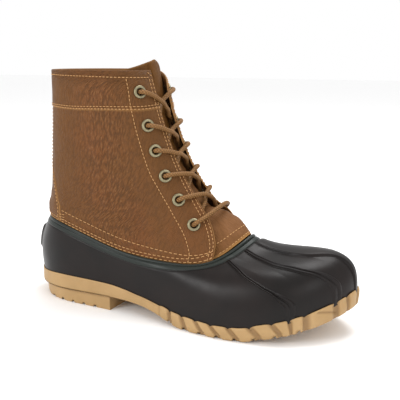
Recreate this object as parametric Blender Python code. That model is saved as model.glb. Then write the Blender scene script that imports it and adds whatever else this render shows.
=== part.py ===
"""Duck boot for the right foot: gum outsole, rubber shell, laced leather shaft.

Every piece is worked out in the frame of the last: X runs from the outsole's back edge to
the toe, Y is positive on the medial side, Z is up from the floor. A parent empty then puts
the origin at the middle of the heel's flat. Lengths are in metres.
"""
import bmesh
import bpy
import numpy as np
from mathutils import Matrix, Vector

# Main sizes of the boot
LENGTH = 0.305
BALL_WIDTH = 0.112
COLLAR_HEIGHT = 0.211
HEEL_BLOCK = 0.0125
TOE_SPRING = 0.025
SOLE_THICK = 0.013

# Walls, the gap between pieces, and the wider one between curved layers
LEATHER = 0.0024
RUBBER = 0.0030
FLANGE = 0.0014
INSOLE = 0.0040
CLEAR = 0.0003
NEST = 0.0009

# Lip and side blocks of the outsole
LIP_WIDTH = 0.0014
LIP_HEIGHT = 0.0022
LEDGE_WIDTH = 0.0076
BLOCKS_A_SIDE = 12
BLOCK_RELIEF = 0.0013
BLOCK_SCALLOP = 0.0011
BLOCK_SLANT = 0.0060
BLOCKS_START = 0.50
EDGE_ROUND = 0.0016

# Tread
TREAD_DEPTH = 0.0022
TREAD_GROOVE = 0.0030
TREAD_ZIGZAG = 0.0025
TREAD_WAVE = 0.018
HEEL_PITCH = 0.0125
FOREFOOT_PITCH = 0.0155
HEEL_REST = 0.155
FOREFOOT_REST = 0.655
HEEL_BREAST = 0.315
HEEL_SINK = 0.0030

# Rim of the rubber shell
BEAD_WIDTH = 0.0024
BEAD_PROUD = 0.0009
BAND_WIDTH = 0.0062
BAND_PROUD = 0.0005
FLANGE_HEIGHT = 0.0110
RIB_PROUD = 0.0012
PATCH_PROUD = 0.0022

# Leather shaft
CUFF_HEIGHT = 0.031
CUFF_PROUD = 0.0005
BACKSTAY_PROUD = 0.0005
HEEL_PUFF = 0.0020
TONGUE_RISE = 0.010
TONGUE_SINK = 0.0052
TONGUE_PEAK = 0.30

# Eyelets and lace
EYELET_OUTER = 0.0112
EYELET_HOLE = 0.0058
EYELET_BARREL = 0.0074
EYELET_PROUD = 0.0011
EYELET_SETBACK = 0.0185
EYELET_SIDES = 10
LACE = 0.0040
LACE_SIDES = 6
LACE_STOP = 0.25

# Columns of the meshes: quarter, backstay, tongue, and a side of the shell before its ribs.
# The quarter's stand closer together at its front edge, the shell's at the heel, by CROWD.
QUARTER_COLUMNS = 15
STAY_COLUMNS = 9
TONGUE_COLUMNS = 13
SHELL_COLUMNS = 19
CROWD = 1.15
# Heights of the rows that upper and tongue share
LEATHER_ROWS = (0.0, 0.07, 0.16, 0.26, 0.38, 0.52, 0.68)

# The boot is read round its outline by stations: 0 is the heel's back, 1 to 7 the lateral
# side, 8 the toe, 9 to 15 the medial side.

# Outline of the sole, station by station: x in LENGTH, y in half BALL_WIDTH
SOLE_PLAN = {
    "x": (0.000, 0.035, 0.130, 0.300, 0.470, 0.640, 0.780, 0.900,
          1.000, 0.925, 0.800, 0.650, 0.480, 0.310, 0.140, 0.035),
    "y": (0.00, -0.40, -0.68, -0.72, -0.83, -0.99, -0.95, -0.67,
          0.06, 0.67, 0.93, 0.92, 0.665, 0.595, 0.69, 0.40),
}
STATIONS = len(SOLE_PLAN["x"])
TOE = STATIONS / 2

# Side view of the sole: x in LENGTH, the underside as shares of HEEL_BLOCK and of
# TOE_SPRING, and the thickness in SOLE_THICK
SOLE_SIDE = {
    "x": (0.00, 0.05, 0.14, 0.31, 0.37, 0.42, 0.465, 0.51, 0.55, 0.575,
          0.66, 0.735, 0.79, 0.85, 0.905, 0.955, 1.00),
    "block": (1.00, 1.00, 1.02, 1.00, 0.97, 0.88, 0.68, 0.36, 0.07, 0.00,
              0.00, 0.00, 0.00, 0.00, 0.00, 0.00, 0.00),
    "spring": (0.00, 0.00, 0.00, 0.00, 0.00, 0.00, 0.00, 0.00, 0.00, 0.00,
               0.00, 0.00, 0.13, 0.29, 0.48, 0.72, 1.00),
    "thick": (0.88, 0.95, 1.04, 0.94, 0.80, 0.69, 0.70, 0.78, 0.85, 0.87,
              0.74, 0.82, 0.88, 0.93, 0.96, 1.00, 1.00),
}

# Rings of the upper, stations 0 to 8, the same on both sides. x is in LENGTH, y in half
# BALL_WIDTH, z in COLLAR_HEIGHT. The rim is where leather meets rubber, the top is the
# collar, and low and high are the two handles that bend the wall between them.
RINGS = {
    "rim": {
        "x": (0.044, 0.062, 0.132, 0.251, 0.370, 0.498, 0.607, 0.675, 0.702),
        "y": (0.00, -0.30, -0.59, -0.67, -0.70, -0.70, -0.614, -0.35, 0.00),
        "z": (0.359, 0.358, 0.352, 0.307, 0.265, 0.249, 0.257, 0.312, 0.351),
    },
    "low": {
        "x": (0.062, 0.079, 0.136, 0.230, 0.325, 0.408, 0.465, 0.499, 0.508),
        "y": (0.00, -0.32, -0.56, -0.625, -0.64, -0.62, -0.52, -0.29, 0.00),
        "z": (0.560, 0.555, 0.531, 0.493, 0.468, 0.462, 0.484, 0.526, 0.540),
    },
    "high": {
        "x": (0.070, 0.088, 0.137, 0.216, 0.303, 0.383, 0.438, 0.469, 0.476),
        "y": (0.00, -0.33, -0.57, -0.66, -0.67, -0.625, -0.49, -0.277, 0.00),
        "z": (0.782, 0.782, 0.777, 0.758, 0.739, 0.710, 0.682, 0.668, 0.664),
    },
    "top": {
        "x": (0.074, 0.092, 0.138, 0.201, 0.270, 0.334, 0.379, 0.399, 0.405),
        "y": (0.00, -0.35, -0.60, -0.715, -0.74, -0.69, -0.52, -0.277, 0.00),
        "z": (1.00, 1.00, 1.00, 1.00, 1.00, 1.00, 1.00, 1.00, 1.00),
    },
}

# Profile of the shell between the sole and the rim, stations 0 to 8. The wall leaves the
# sole upwards by rise, swells by bulge (half BALL_WIDTH), and meets the rim from reach (the
# distance in plan) outside it and drop below it. Rise and drop are shares of its height.
SHELL_PROFILE = {
    "rise": (0.55, 0.55, 0.50, 0.50, 0.50, 0.55, 0.75, 1.18, 1.40),
    "bulge": (0.093, 0.08, 0.03, 0.02, 0.02, 0.03, 0.045, 0.05, 0.05),
    "reach": (0.80, 0.80, 0.60, 0.50, 0.45, 0.47, 0.50, 0.42, 0.36),
    "drop": (0.20, 0.20, 0.15, 0.12, 0.08, 0.05, 0.08, 0.35, 0.55),
}

# Ribs over the toe: stations before the toe at the rim and at the sole, half widths there
RIBS = {
    "at_rim": (0.00, 0.66, 1.30),
    "at_sole": (0.00, 0.47, 1.25),
    "half_rim": (0.20, 0.055, 0.045),
    "half_sole": (0.12, 0.075, 0.09),
}

# Front edge of the quarters: stations from the toe, over the height from rim (0) to collar (1)
QUARTER_EDGE = {
    "height": (0.00, 0.07, 0.18, 0.40, 0.90, 1.00),
    "lateral": (1.70, 1.26, 0.92, 0.74, 0.59, 0.56),
    "medial": (1.70, 1.26, 0.92, 0.74, 0.78, 1.60),
}

# Fuller low instep: its shift in metres along X, Y and Z, and where it grows and fades
INSTEP = {
    "shift": (0.0029, 0.0015, 0.0032),
    "stations": (7.2, 8.4, 8.9, 10.0),
    "heights": (0.00, 0.13, 0.14, 0.27),
}

# Half width of the backstay in stations, over the height from rim to collar
BACKSTAY = {
    "height": (0.00, 0.10, 0.21, 0.32, 0.45, 1.00),
    "station": (2.02, 1.98, 1.80, 1.52, 1.10, 0.80),
}

# Half width of the tongue in stations, over the same height
TONGUE_EDGE = {
    "height": (0.00, 0.20, 0.60, 1.00),
    "station": (1.85, 1.75, 2.10, 2.70),
}

# The six eyelets of a side, top one first: height between rim and collar, and distance
# behind the quarter's edge as a share of EYELET_SETBACK
EYELETS = {
    "height": (0.908, 0.752, 0.622, 0.480, 0.334, 0.185),
    "setback": (1.00, 1.00, 0.98, 0.95, 0.86, 0.78),
}


def closed_curve(rows, station):
    """Point at a station of the smooth closed curve through one row for each station."""
    rows = np.asarray(rows, dtype=float)
    count = len(rows)
    near = np.roll(np.eye(count), 1, axis=1) + np.roll(np.eye(count), -1, axis=1)
    turn = np.roll(rows, -1, axis=0) - 2 * rows + np.roll(rows, 1, axis=0)
    bend = np.linalg.solve(4 * np.eye(count) + near, 6 * turn)
    station = np.asarray(station, dtype=float)[..., None]
    share = station - np.floor(station)
    this = np.floor(station[..., 0]).astype(int) % count
    following = (this + 1) % count
    straight = (1 - share) * rows[this] + share * rows[following]
    curved = ((1 - share) ** 3 - 1 + share) * bend[this] + (share ** 3 - share) * bend[following]
    return straight + curved / 6


def along(table, key, value, by="x"):
    """Column key of a table at value, by cubics that never overshoot the rows."""
    x = np.asarray(table[by])
    y = np.asarray(table[key])
    step = np.diff(x)
    slope = np.diff(y) / step
    tangent = np.concatenate(([slope[0]], np.zeros(len(x) - 2), [slope[-1]]))
    same = slope[:-1] * slope[1:] > 0
    pair = np.where(same, slope[:-1] + slope[1:], 1)
    tangent[1:-1] = np.where(same, 2 * slope[:-1] * slope[1:] / pair, 0)
    value = np.clip(value, x[0], x[-1])
    k = np.clip(np.searchsorted(x, value, side="right") - 1, 0, len(x) - 2)
    t = (value - x[k]) / step[k]
    ends = (1 + 2 * t) * (1 - t) ** 2 * y[k] + t * t * (3 - 2 * t) * y[k + 1]
    return ends + step[k] * (t * (1 - t) ** 2 * tangent[k] - t * t * (1 - t) * tangent[k + 1])


def both_sides(half, sign=1):
    """Column for all stations from the one for stations 0 to 8."""
    half = np.asarray(half, dtype=float)
    return np.concatenate((half, sign * half[-2:0:-1]))


def ease(value, start, end):
    """Smooth step from 0 at start to 1 at end."""
    t = np.clip((np.asarray(value, dtype=float) - start) / (end - start), 0, 1)
    return t * t * (3 - 2 * t)


def unit(vectors):
    """Vectors scaled to length one."""
    length = np.linalg.norm(vectors, axis=-1, keepdims=True)
    return vectors / np.maximum(length, 1e-12)


# Sole

def sole_plan(station, inset=0.0):
    """Outline of the sole, moved inwards by inset."""
    rows = np.column_stack((SOLE_PLAN["x"], SOLE_PLAN["y"])) * (LENGTH, BALL_WIDTH / 2)
    point = closed_curve(rows, station)
    step = 0.02
    tangent = unit(closed_curve(rows, station + step) - closed_curve(rows, station - step))
    inward = np.stack((-tangent[..., 1], tangent[..., 0]), axis=-1)
    return point + inward * np.asarray(inset)[..., None]


def sole_under(x):
    """Height of the sole's underside, without the heel block."""
    block = HEEL_BLOCK * along(SOLE_SIDE, "block", x / LENGTH)
    spring = TOE_SPRING * along(SOLE_SIDE, "spring", x / LENGTH)
    return block + spring


def sole_top(x):
    """Height of the border between gum sole and rubber shell."""
    return sole_under(x) + SOLE_THICK * along(SOLE_SIDE, "thick", x / LENGTH)


def ledge(x):
    """Height of the sole's top inside its lip, which carries the shell and the insole."""
    return sole_top(x) - LIP_HEIGHT


def side_line(side):
    """Stations, outline and way shares from the heel's back to the toe, side -1 lateral, 1 medial."""
    dense = np.linspace(0, TOE, 401)
    stations = dense if side < 0 else STATIONS - dense
    plan = sole_plan(stations)
    way = np.concatenate(([0], np.cumsum(np.linalg.norm(np.diff(plan, axis=0), axis=1))))
    return stations, plan, way / way[-1]


def stations_by_length(side, shares):
    """Stations on a side at shares of the way from the heel's back to the toe."""
    stations, _, way = side_line(side)
    return np.interp(shares, way, stations)


def share_at(side, x):
    """Share of the way on a side at which the outline passes x."""
    _, plan, way = side_line(side)
    return float(np.interp(x, plan[:, 0], way))


def plain_columns(rib_place, rib_half):
    """Stations from the heel's back to the first rib, which lies rib_place before the toe."""
    return (TOE - rib_place - 2.5 * rib_half) * np.linspace(0, 1, SHELL_COLUMNS) ** CROWD


def block_columns(side):
    """Way shares of the sole's columns, and how high each stands on its side block."""
    plain = plain_columns(RIBS["at_sole"][-1], RIBS["half_sole"][-1])
    starts = [np.interp(BLOCKS_START * LENGTH, side_line(each)[1][:, 0], np.linspace(0, TOE, 401))
              for each in (-1, 1)]
    plain = plain[plain < min(starts) - 0.1]
    start = share_at(side, BLOCKS_START * LENGTH)
    shares = list(np.interp(plain, np.linspace(0, TOE, 401), side_line(side)[2]))
    heights = [0.0] * len(plain)
    for block in range(BLOCKS_A_SIDE):
        for place, height in ((0.0, -1.0), (0.2, 0.6), (0.5, 1.0), (0.8, 0.6)):
            shares.append(start + (1 - start) * (block + place) / BLOCKS_A_SIDE)
            heights.append(height)
    return np.array(shares), np.array(heights)


def slant_fade(way):
    """Share of the blocks' full slant along the way, none where they start and at the toe."""
    return ease(way, 0.5, 0.6) * ease(1 - way, 0, 0.12)


def sole_rows():
    """Rows of the sole's wall from the ledge's inner edge, over the lip, to the underside."""
    lateral, lateral_height = block_columns(-1)
    medial, medial_height = block_columns(1)
    height = np.concatenate((lateral_height, [-1.0], medial_height[:0:-1]))
    fade = np.concatenate((slant_fade(lateral), [0.0], slant_fade(medial)[:0:-1]))
    way = np.concatenate((lateral, [1.0], 2 - medial[:0:-1]))
    on_block = np.where(height == 0, 0, 1)
    slant = on_block * fade * BLOCK_SLANT / (0.25 * np.pi * LENGTH)

    def place(depth, inset, z_of):
        share = np.where(way <= 1, way + slant * depth, way - slant * depth)
        station = np.where(share <= 1, stations_by_length(-1, np.minimum(share, 1)),
                           stations_by_length(1, np.clip(2 - share, 0, 1)))
        plan = sole_plan(station, inset)
        return np.column_stack((plan, z_of(plan[:, 0])))

    relief = on_block * BLOCK_RELIEF * (1 - height) / 2
    scallop = on_block * BLOCK_SCALLOP * height
    rows = [place(0, LEDGE_WIDTH, ledge),
            place(0, LIP_WIDTH, ledge),
            place(0, LIP_WIDTH * 0.8, lambda x: sole_top(x) + scallop),
            place(0.1, relief * 0.5 + LIP_WIDTH * 0.2, lambda x: sole_top(x) + scallop - LIP_WIDTH / 3)]
    for depth in (0.35, 0.7):
        rows.append(place(depth, relief, lambda x, d=depth: d * sole_under(x) + (1 - d) * sole_top(x)))
    rows.append(place(1, relief + EDGE_ROUND * 0.3, lambda x: sole_under(x) + EDGE_ROUND))
    rows.append(place(1, relief * 0.5 + EDGE_ROUND * 1.3, sole_under))
    return rows


# Upper

def ring(name, station):
    """Ring of the upper at a station."""
    table = RINGS[name]
    rows = np.column_stack((both_sides(table["x"]) * LENGTH,
                            both_sides(table["y"], -1) * BALL_WIDTH / 2,
                            both_sides(table["z"]) * COLLAR_HEIGHT))
    return closed_curve(rows, station)


def upper_wall(station, height):
    """Outer face of the upper, from the rim (height 0) to the collar (1) and straight on.

    The low instep is fuller on its medial side.
    """
    rim = ring("rim", station)
    low = ring("low", station)
    high = ring("high", station)
    top = ring("top", station)
    t = np.clip(height, 0, 1)[..., None]
    beyond = np.maximum(height - 1, 0)[..., None]
    inside = (1 - t) ** 3 * rim + 3 * (1 - t) ** 2 * t * low + 3 * (1 - t) * t ** 2 * high + t ** 3 * top
    start, full, fading, end = INSTEP["heights"]
    puff = np.sin(np.pi / 2 * np.clip((height - start) / full, 0, 1)) * (1 - ease(height, fading, end))
    start, full, fading, end = INSTEP["stations"]
    around = station % STATIONS
    puff = puff * ease(around, start, full) * (1 - ease(around, fading, end))
    return inside + beyond * 3 * (top - high) + puff[..., None] * INSTEP["shift"]


def upper_normal(station, height):
    """Outward direction of the upper's outer face."""
    step = 0.02
    round_it = upper_wall(station + step, height) - upper_wall(station - step, height)
    level = np.maximum(height, step)
    up_it = upper_wall(station, level + step) - upper_wall(station, level - step)
    return unit(np.cross(round_it, up_it))


def upper_at(station, height, inset=0.0):
    """Point of the upper, inset inwards from its outer face."""
    station = np.asarray(station, dtype=float)
    height = np.asarray(height, dtype=float) + 0 * station
    return upper_wall(station, height) - upper_normal(station, height) * np.asarray(inset)[..., None]


def height_share(size):
    """Share of the leather's height, from rim to collar at the sides, that a size takes."""
    return size / ((1 - RINGS["rim"]["z"][4]) * COLLAR_HEIGHT)


def leather_rows(*more):
    """Heights of a leather's rows, the first just clear of the rim, with more above."""
    return [height_share(NEST), *LEATHER_ROWS[1:], *more]


def cuff_edge():
    """Height of the cuff's lower edge between rim (0) and collar (1)."""
    return 1 - height_share(CUFF_HEIGHT)


def upper_columns(height):
    """Stations across the quarters at a height, and how far the backstay covers each."""
    stay = float(along(BACKSTAY, "station", height, by="height"))
    hair = 0.03
    share = np.linspace(0, 1, QUARTER_COLUMNS) ** CROWD
    sides = []
    for name in ("medial", "lateral"):
        edge = float(along(QUARTER_EDGE, name, height, by="height"))
        sides.append(edge + (TOE - stay - edge) * share)
    back = np.linspace(STATIONS - stay + hair, STATIONS + stay - hair, STAY_COLUMNS)
    stations = np.concatenate((TOE + sides[0], back, STATIONS + TOE - sides[1][::-1]))
    plain = np.zeros(QUARTER_COLUMNS)
    return stations, np.concatenate((plain, np.ones(STAY_COLUMNS), plain))


def quarters():
    """Outer and inner grids of the upper, rows from rim to collar."""
    cuff = cuff_edge()
    outer = []
    inner = []
    for height in leather_rows(cuff, cuff + 0.006, 0.93, 1.0):
        stations, cover = upper_columns(height)
        puff = ease(height, 0.0, 0.05) * (1 - ease(height, 0.08, 0.2))
        puff *= 1 - ease(abs(stations - STATIONS), 0.6, 2.2)
        proud = BACKSTAY_PROUD * cover + HEEL_PUFF * puff
        if height > cuff:
            proud = np.full(len(stations), CUFF_PROUD)
        outer.append(upper_at(stations, height, -proud))
        inner.append(upper_at(stations, height, LEATHER))
    return np.array(outer), np.array(inner)


def tongue_grid():
    """Outer and inner grids of the tongue with its apron."""
    across = np.linspace(-1, 1, TONGUE_COLUMNS)
    from_peak = abs(across - TONGUE_PEAK) / (1 - TONGUE_PEAK * np.sign(across - TONGUE_PEAK))
    rise = TONGUE_RISE / (COLLAR_HEIGHT * 3 * (1 - RINGS["high"]["z"][8]))
    outer = []
    inner = []
    for height in leather_rows(0.85, 1.0):
        half = float(along(TONGUE_EDGE, "station", height, by="height"))
        edge = float(along(QUARTER_EDGE, "lateral", height, by="height"))
        stations = TOE + across * half
        level = height * (1 + rise * (1 - from_peak ** 1.2) * ease(height, 0.5, 1.0))
        away = abs(stations - TOE)
        sink = TONGUE_SINK * ease(height, 0.07, 0.30) * (1 - ease(away, 1.5, 2.7) * 0.9)
        sink *= 1 - 0.9 * ease(height, 0.7, 1.0)
        open_part = 1 - ease(away, edge * 0.5, edge * 0.8)
        cover = (LEATHER + NEST) * (1 - 0.75 * open_part * (1 - ease(height, 0.03, 0.25)))
        outer.append(upper_at(stations, level, cover + sink))
        inner.append(upper_at(stations, level, cover + sink + LEATHER))
    return np.array(outer), np.array(inner)


# Shell

def flange_inset(station):
    """How deep the flange lies: behind one leather, or two where the tongue is under the quarters."""
    away = abs(station - TOE)
    layers = 2 - ease(away, 1.95, 2.35)
    return layers * (LEATHER + NEST)


def shell_profile(sole_station, rim_station, share):
    """Point of the shell's outer face at a share of the way from the sole (0) to the rim (1)."""
    column = {key: closed_curve(both_sides(values)[:, None], sole_station)
              for key, values in SHELL_PROFILE.items()}
    foot_plan = sole_plan(sole_station, LIP_WIDTH + CLEAR)
    foot = np.column_stack((foot_plan, ledge(foot_plan[:, 0]) + CLEAR))
    rim = ring("rim", rim_station)
    out = foot - rim
    height = -out[:, 2:]
    out[:, 2] = 0
    rise = foot + unit(out) * column["bulge"] * BALL_WIDTH / 2
    rise[:, 2:] += column["rise"] * height
    reach = rim + out * column["reach"]
    reach[:, 2:] -= column["drop"] * height
    t = np.asarray(share)[..., None]
    return (1 - t) ** 3 * foot + 3 * (1 - t) ** 2 * t * rise + 3 * (1 - t) * t ** 2 * reach + t ** 3 * rim


def shell_columns():
    """Stations at the sole and at the rim, and rib height, for each column of the shell."""
    at_sole = []
    at_rim = []
    rib = []
    ribs = list(zip(*(RIBS[key] for key in ("at_rim", "at_sole", "half_rim", "half_sole"))))
    last_rim, last_sole, last_half, last_half_sole = ribs[-1]
    for rim, sole in zip(plain_columns(last_rim, last_half), plain_columns(last_sole, last_half_sole)):
        at_sole.append(sole)
        at_rim.append(rim)
        rib.append(0.0)
    for place in range(len(ribs) - 1, 0, -1):
        rim, sole, half_rim, half_sole = ribs[place]
        for side, height in ((-1, 0.0), (-0.5, 1.0), (0.5, 1.0), (1, 0.0)):
            at_rim.append(TOE - rim + side * half_rim)
            at_sole.append(TOE - sole + side * half_sole)
            rib.append(height)
        following = ribs[place - 1]
        for share in (0.30, 0.50, 0.70):
            at_rim.append(TOE - (rim * (1 - share) + following[0] * share))
            at_sole.append(TOE - (sole * (1 - share) + following[1] * share))
            rib.append(0.0)
    half_rim, half_sole = ribs[0][2], ribs[0][3]
    for side, height in ((-1, 0.0), (-0.75, 1.0)):
        at_rim.append(TOE + side * half_rim)
        at_sole.append(TOE + side * half_sole)
        rib.append(height)
    at_rim = np.array(at_rim + [TOE])
    at_sole = np.array(at_sole + [TOE])
    rib = np.array(rib + [1.0])
    mirror = slice(-2, 0, -1)
    return (np.concatenate((at_sole, STATIONS - at_sole[mirror])),
            np.concatenate((at_rim, STATIONS - at_rim[mirror])),
            np.concatenate((rib, rib[mirror])))


def shell_rows():
    """Rows of the shell: up the outer face, over bead and flange, down the inner face."""
    at_sole, at_rim, rib = shell_columns()
    fine = np.linspace(0, 1, 61)
    dense = np.array([shell_profile(at_sole, at_rim, np.full(len(at_sole), s)) for s in fine])
    step = np.linalg.norm(np.diff(dense, axis=0), axis=2)
    way = np.concatenate((np.zeros((1, len(at_sole))), np.cumsum(step, axis=0)))
    total = way[-1]

    def at(from_rim):
        share = np.array([np.interp(t - d, w, fine) for t, d, w in zip(total, from_rim, way.T)])
        return shell_profile(at_sole, at_rim, share)

    hair = 0.0004
    below = total - BAND_WIDTH - hair
    outer_depths = [total - below * share for share in (0.0, 0.11, 0.22, 0.34, 0.48, 0.64, 0.82, 1.0)]
    outer_depths += [total * 0 + depth for depth in (BAND_WIDTH, BEAD_WIDTH + hair, BEAD_WIDTH, hair)]
    grid = np.array([at(depth) for depth in outer_depths])
    normal = grid_normals(grid)
    proud = [rib * RIB_PROUD * share for share in (0.55, 1, 1, 1, 1, 1, 1, 0.8)]
    proud += [rib * 0 + BAND_PROUD, rib * 0 + BAND_PROUD, rib * 0 + BEAD_PROUD, rib * 0 + BEAD_PROUD]
    rows = [grid[k] + normal[k] * proud[k][:, None] for k in range(len(grid))]
    rows[0] = grid[0]
    patch = heel_patch(at_sole, total, outer_depths)
    rows = [row + normal[k] * patch[k][:, None] for k, row in enumerate(rows)]

    inset = flange_inset(at_rim)
    crown = height_share(FLANGE_HEIGHT)
    rows.append(upper_at(at_rim, 0.0, inset))
    rows.append(upper_at(at_rim, crown, inset))
    rows.append(upper_at(at_rim, crown, inset + FLANGE))
    bead = len(grid) - 2
    rows.append(grid[bead] - normal[bead] * np.maximum(RUBBER, inset + FLANGE)[:, None])
    for k in (7, 5, 3, 1):
        rows.append(grid[k] - normal[k] * RUBBER)
    foot = sole_plan(at_sole, LIP_WIDTH + CLEAR + RUBBER)
    rows.append(np.column_stack((foot, ledge(foot[:, 0]) + CLEAR)))
    return rows


def heel_patch(at_sole, total, depths):
    """How far the oval patch on the heel's back stands out at each row and column."""
    away = np.minimum(at_sole, STATIONS - at_sole)
    across = 1 - ease(away, 0.55, 0.75)
    shares = [1 - depth / total for depth in depths]
    return [PATCH_PROUD * across * ease(share, 0.32, 0.40) * (1 - ease(share, 0.70, 0.78))
            for share in shares]


def grid_normals(grid):
    """Outward directions of a grid of rows that close round the boot."""
    round_it = np.roll(grid, -1, axis=1) - np.roll(grid, 1, axis=1)
    up_it = np.gradient(grid, axis=0)
    return unit(np.cross(round_it, up_it))


# Meshes

def add_grid(mesh, rows):
    """Vertices of a bmesh for rows of points."""
    return [[mesh.verts.new(point) for point in row] for row in rows]


def bridge(mesh, low, high, closed=True):
    """Faces between two rows of vertices."""
    count = len(low)
    for k in range(count if closed else count - 1):
        following = (k + 1) % count
        mesh.faces.new((low[k], low[following], high[following], high[k]))


def cap(mesh, row):
    """Faces across a closed row that starts at the heel, from each vertex to its opposite one."""
    count = len(row)
    half = count // 2
    mesh.faces.new((row[0], row[1], row[-1]))
    for k in range(1, half - 1):
        mesh.faces.new((row[k], row[k + 1], row[count - k - 1], row[count - k]))
    mesh.faces.new((row[half - 1], row[half], row[half + 1]))


def finish(name, mesh, material, parent=None):
    """Object from a bmesh, with its faces pointing out."""
    bmesh.ops.recalc_face_normals(mesh, faces=mesh.faces)
    data = bpy.data.meshes.new(name)
    mesh.to_mesh(data)
    mesh.free()
    data.materials.append(material)
    data.shade_smooth()
    data.set_sharp_from_angle(angle=np.radians(32))
    item = bpy.data.objects.new(name, data)
    bpy.context.scene.collection.objects.link(item)
    item.parent = parent
    return item


def paint(name, colour, roughness, metallic=0.0):
    """Principled material of a piece."""
    material = bpy.data.materials.new(name)
    material.use_nodes = True
    shader = material.node_tree.nodes["Principled BSDF"]
    shader.inputs["Base Color"].default_value = (*colour, 1.0)
    shader.inputs["Roughness"].default_value = roughness
    shader.inputs["Metallic"].default_value = metallic
    return material


def cutter(name, mesh, material, parent):
    """Hidden object that is only used by a Boolean."""
    item = finish(name, mesh, material, parent)
    item.hide_render = True
    item.display_type = "WIRE"
    return item


def boolean(item, other, operation):
    """Boolean modifier with the exact solver."""
    change = item.modifiers.new(other.name, "BOOLEAN")
    change.operation = operation
    change.object = other
    change.solver = "EXACT"


# Pieces

def make_outsole(parent):
    """Gum sole: band with lip and blocks, heel block joined on, zigzag tread cut in."""
    mesh = bmesh.new()
    rows = add_grid(mesh, sole_rows())
    for low, high in zip(rows, rows[1:]):
        bridge(mesh, low, high)
    cap(mesh, rows[0])
    cap(mesh, rows[-1])
    gum = paint("gum", (0.56, 0.36, 0.16), 0.55)
    outsole = finish("outsole", mesh, gum, parent)
    boolean(outsole, make_heel_block(gum, parent), "UNION")
    boolean(outsole, make_tread_cutter(gum, parent), "DIFFERENCE")


def make_heel_block(gum, parent):
    """Heel block, its foot rounded, set in most at the back."""
    breast = HEEL_BREAST * LENGTH
    lateral = stations_by_length(-1, np.linspace(share_at(-1, breast), 0, 9)[:-1])
    medial = stations_by_length(1, np.linspace(0, share_at(1, breast), 9))
    stations = np.concatenate((lateral, medial))
    mesh = bmesh.new()
    rows = []
    for height, inset in ((0.0, 0.0066), (0.12, 0.0056), (0.30, 0.0052), (1.0, 0.0048), (None, 0.0048)):
        plan = sole_plan(stations)
        back = np.clip(1 - plan[:, 0] / breast, 0, 1)
        plan = sole_plan(stations, inset * (0.25 + 0.75 * back ** 1.5))
        plan[0, 0] = breast
        plan[-1, 0] = breast
        z = HEEL_BLOCK + HEEL_SINK if height is None else HEEL_BLOCK * height
        rows.append(np.column_stack((plan, np.full(len(plan), z))))
    rows = add_grid(mesh, rows)
    for low, high in zip(rows, rows[1:]):
        bridge(mesh, low, high)
    mesh.faces.new(rows[0])
    mesh.faces.new(rows[-1])
    return cutter("heel_block", mesh, gum, parent)


def zigzag(mesh, x, half_length, top):
    """Groove cutter across the sole at x, as a folded strip."""
    folds = int(np.ceil(half_length / TREAD_WAVE))
    y = np.arange(-folds, folds + 1) * TREAD_WAVE
    shift = np.where(np.arange(len(y)) % 2 == 0, TREAD_ZIGZAG, -TREAD_ZIGZAG) / 2
    corners = []
    for side, z in ((-1, -0.005), (1, -0.005), (1, top), (-1, top)):
        corners.append(np.column_stack((x + shift + side * TREAD_GROOVE / 2, y, np.full(len(y), z))))
    rows = add_grid(mesh, np.array(corners).transpose(1, 0, 2))
    for low, high in zip(rows, rows[1:]):
        bridge(mesh, low, high)
    mesh.faces.new(rows[0])
    mesh.faces.new(rows[-1])


def make_tread_cutter(gum, parent):
    """Grooves of heel and forefoot, spaced evenly from the middle of each rest."""
    mesh = bmesh.new()
    for rest, pitch, low, high in ((HEEL_REST, HEEL_PITCH, 0.045, HEEL_BREAST - 0.02),
                                   (FOREFOOT_REST, FOREFOOT_PITCH, BLOCKS_START, 0.93)):
        reach = int(LENGTH / pitch)
        for k in range(-reach, reach):
            x = rest * LENGTH + (k + 0.5) * pitch
            if low * LENGTH < x < high * LENGTH:
                under = 0.0 if rest == HEEL_REST else float(sole_under(x))
                zigzag(mesh, x, BALL_WIDTH * 0.56, under + TREAD_DEPTH)
    return cutter("tread_grooves", mesh, gum, parent)


def make_shell(parent):
    """Rubber shell, open underneath, with the flange that carries the leather."""
    mesh = bmesh.new()
    rows = add_grid(mesh, shell_rows())
    for low, high in zip(rows, rows[1:] + rows[:1]):
        bridge(mesh, low, high)
    finish("shell", mesh, paint("rubber", (0.022, 0.019, 0.018), 0.42), parent)


def walled(outer, inner):
    """Bmesh of a sheet with thickness, from its outer and inner grids."""
    mesh = bmesh.new()
    outside = add_grid(mesh, outer)
    inside = add_grid(mesh, inner)
    for sheet in (outside, inside):
        for low, high in zip(sheet, sheet[1:]):
            bridge(mesh, low, high, closed=False)
    bridge(mesh, outside[0], inside[0], closed=False)
    bridge(mesh, outside[-1], inside[-1], closed=False)
    for end in (0, -1):
        bridge(mesh, [row[end] for row in outside], [row[end] for row in inside], closed=False)
    return mesh


def make_upper(parent):
    """Leather shaft and quarters, with the eyelet holes cut through."""
    leather = paint("leather", (0.22, 0.095, 0.035), 0.6)
    upper = finish("upper", walled(*quarters()), leather, parent)
    holes = bmesh.new()
    for _, frame in eyelet_frames():
        bmesh.ops.create_cone(holes, cap_ends=True, segments=EYELET_SIDES,
                              radius1=EYELET_BARREL / 2 + CLEAR, radius2=EYELET_BARREL / 2 + CLEAR,
                              depth=LEATHER * 4, matrix=frame)
    boolean(upper, cutter("eyelet_holes", holes, leather, parent), "DIFFERENCE")


def make_tongue(parent):
    """Apron and tongue in one piece."""
    leather = paint("tongue_leather", (0.20, 0.09, 0.04), 0.62)
    finish("tongue", walled(*tongue_grid()), leather, parent)


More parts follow.
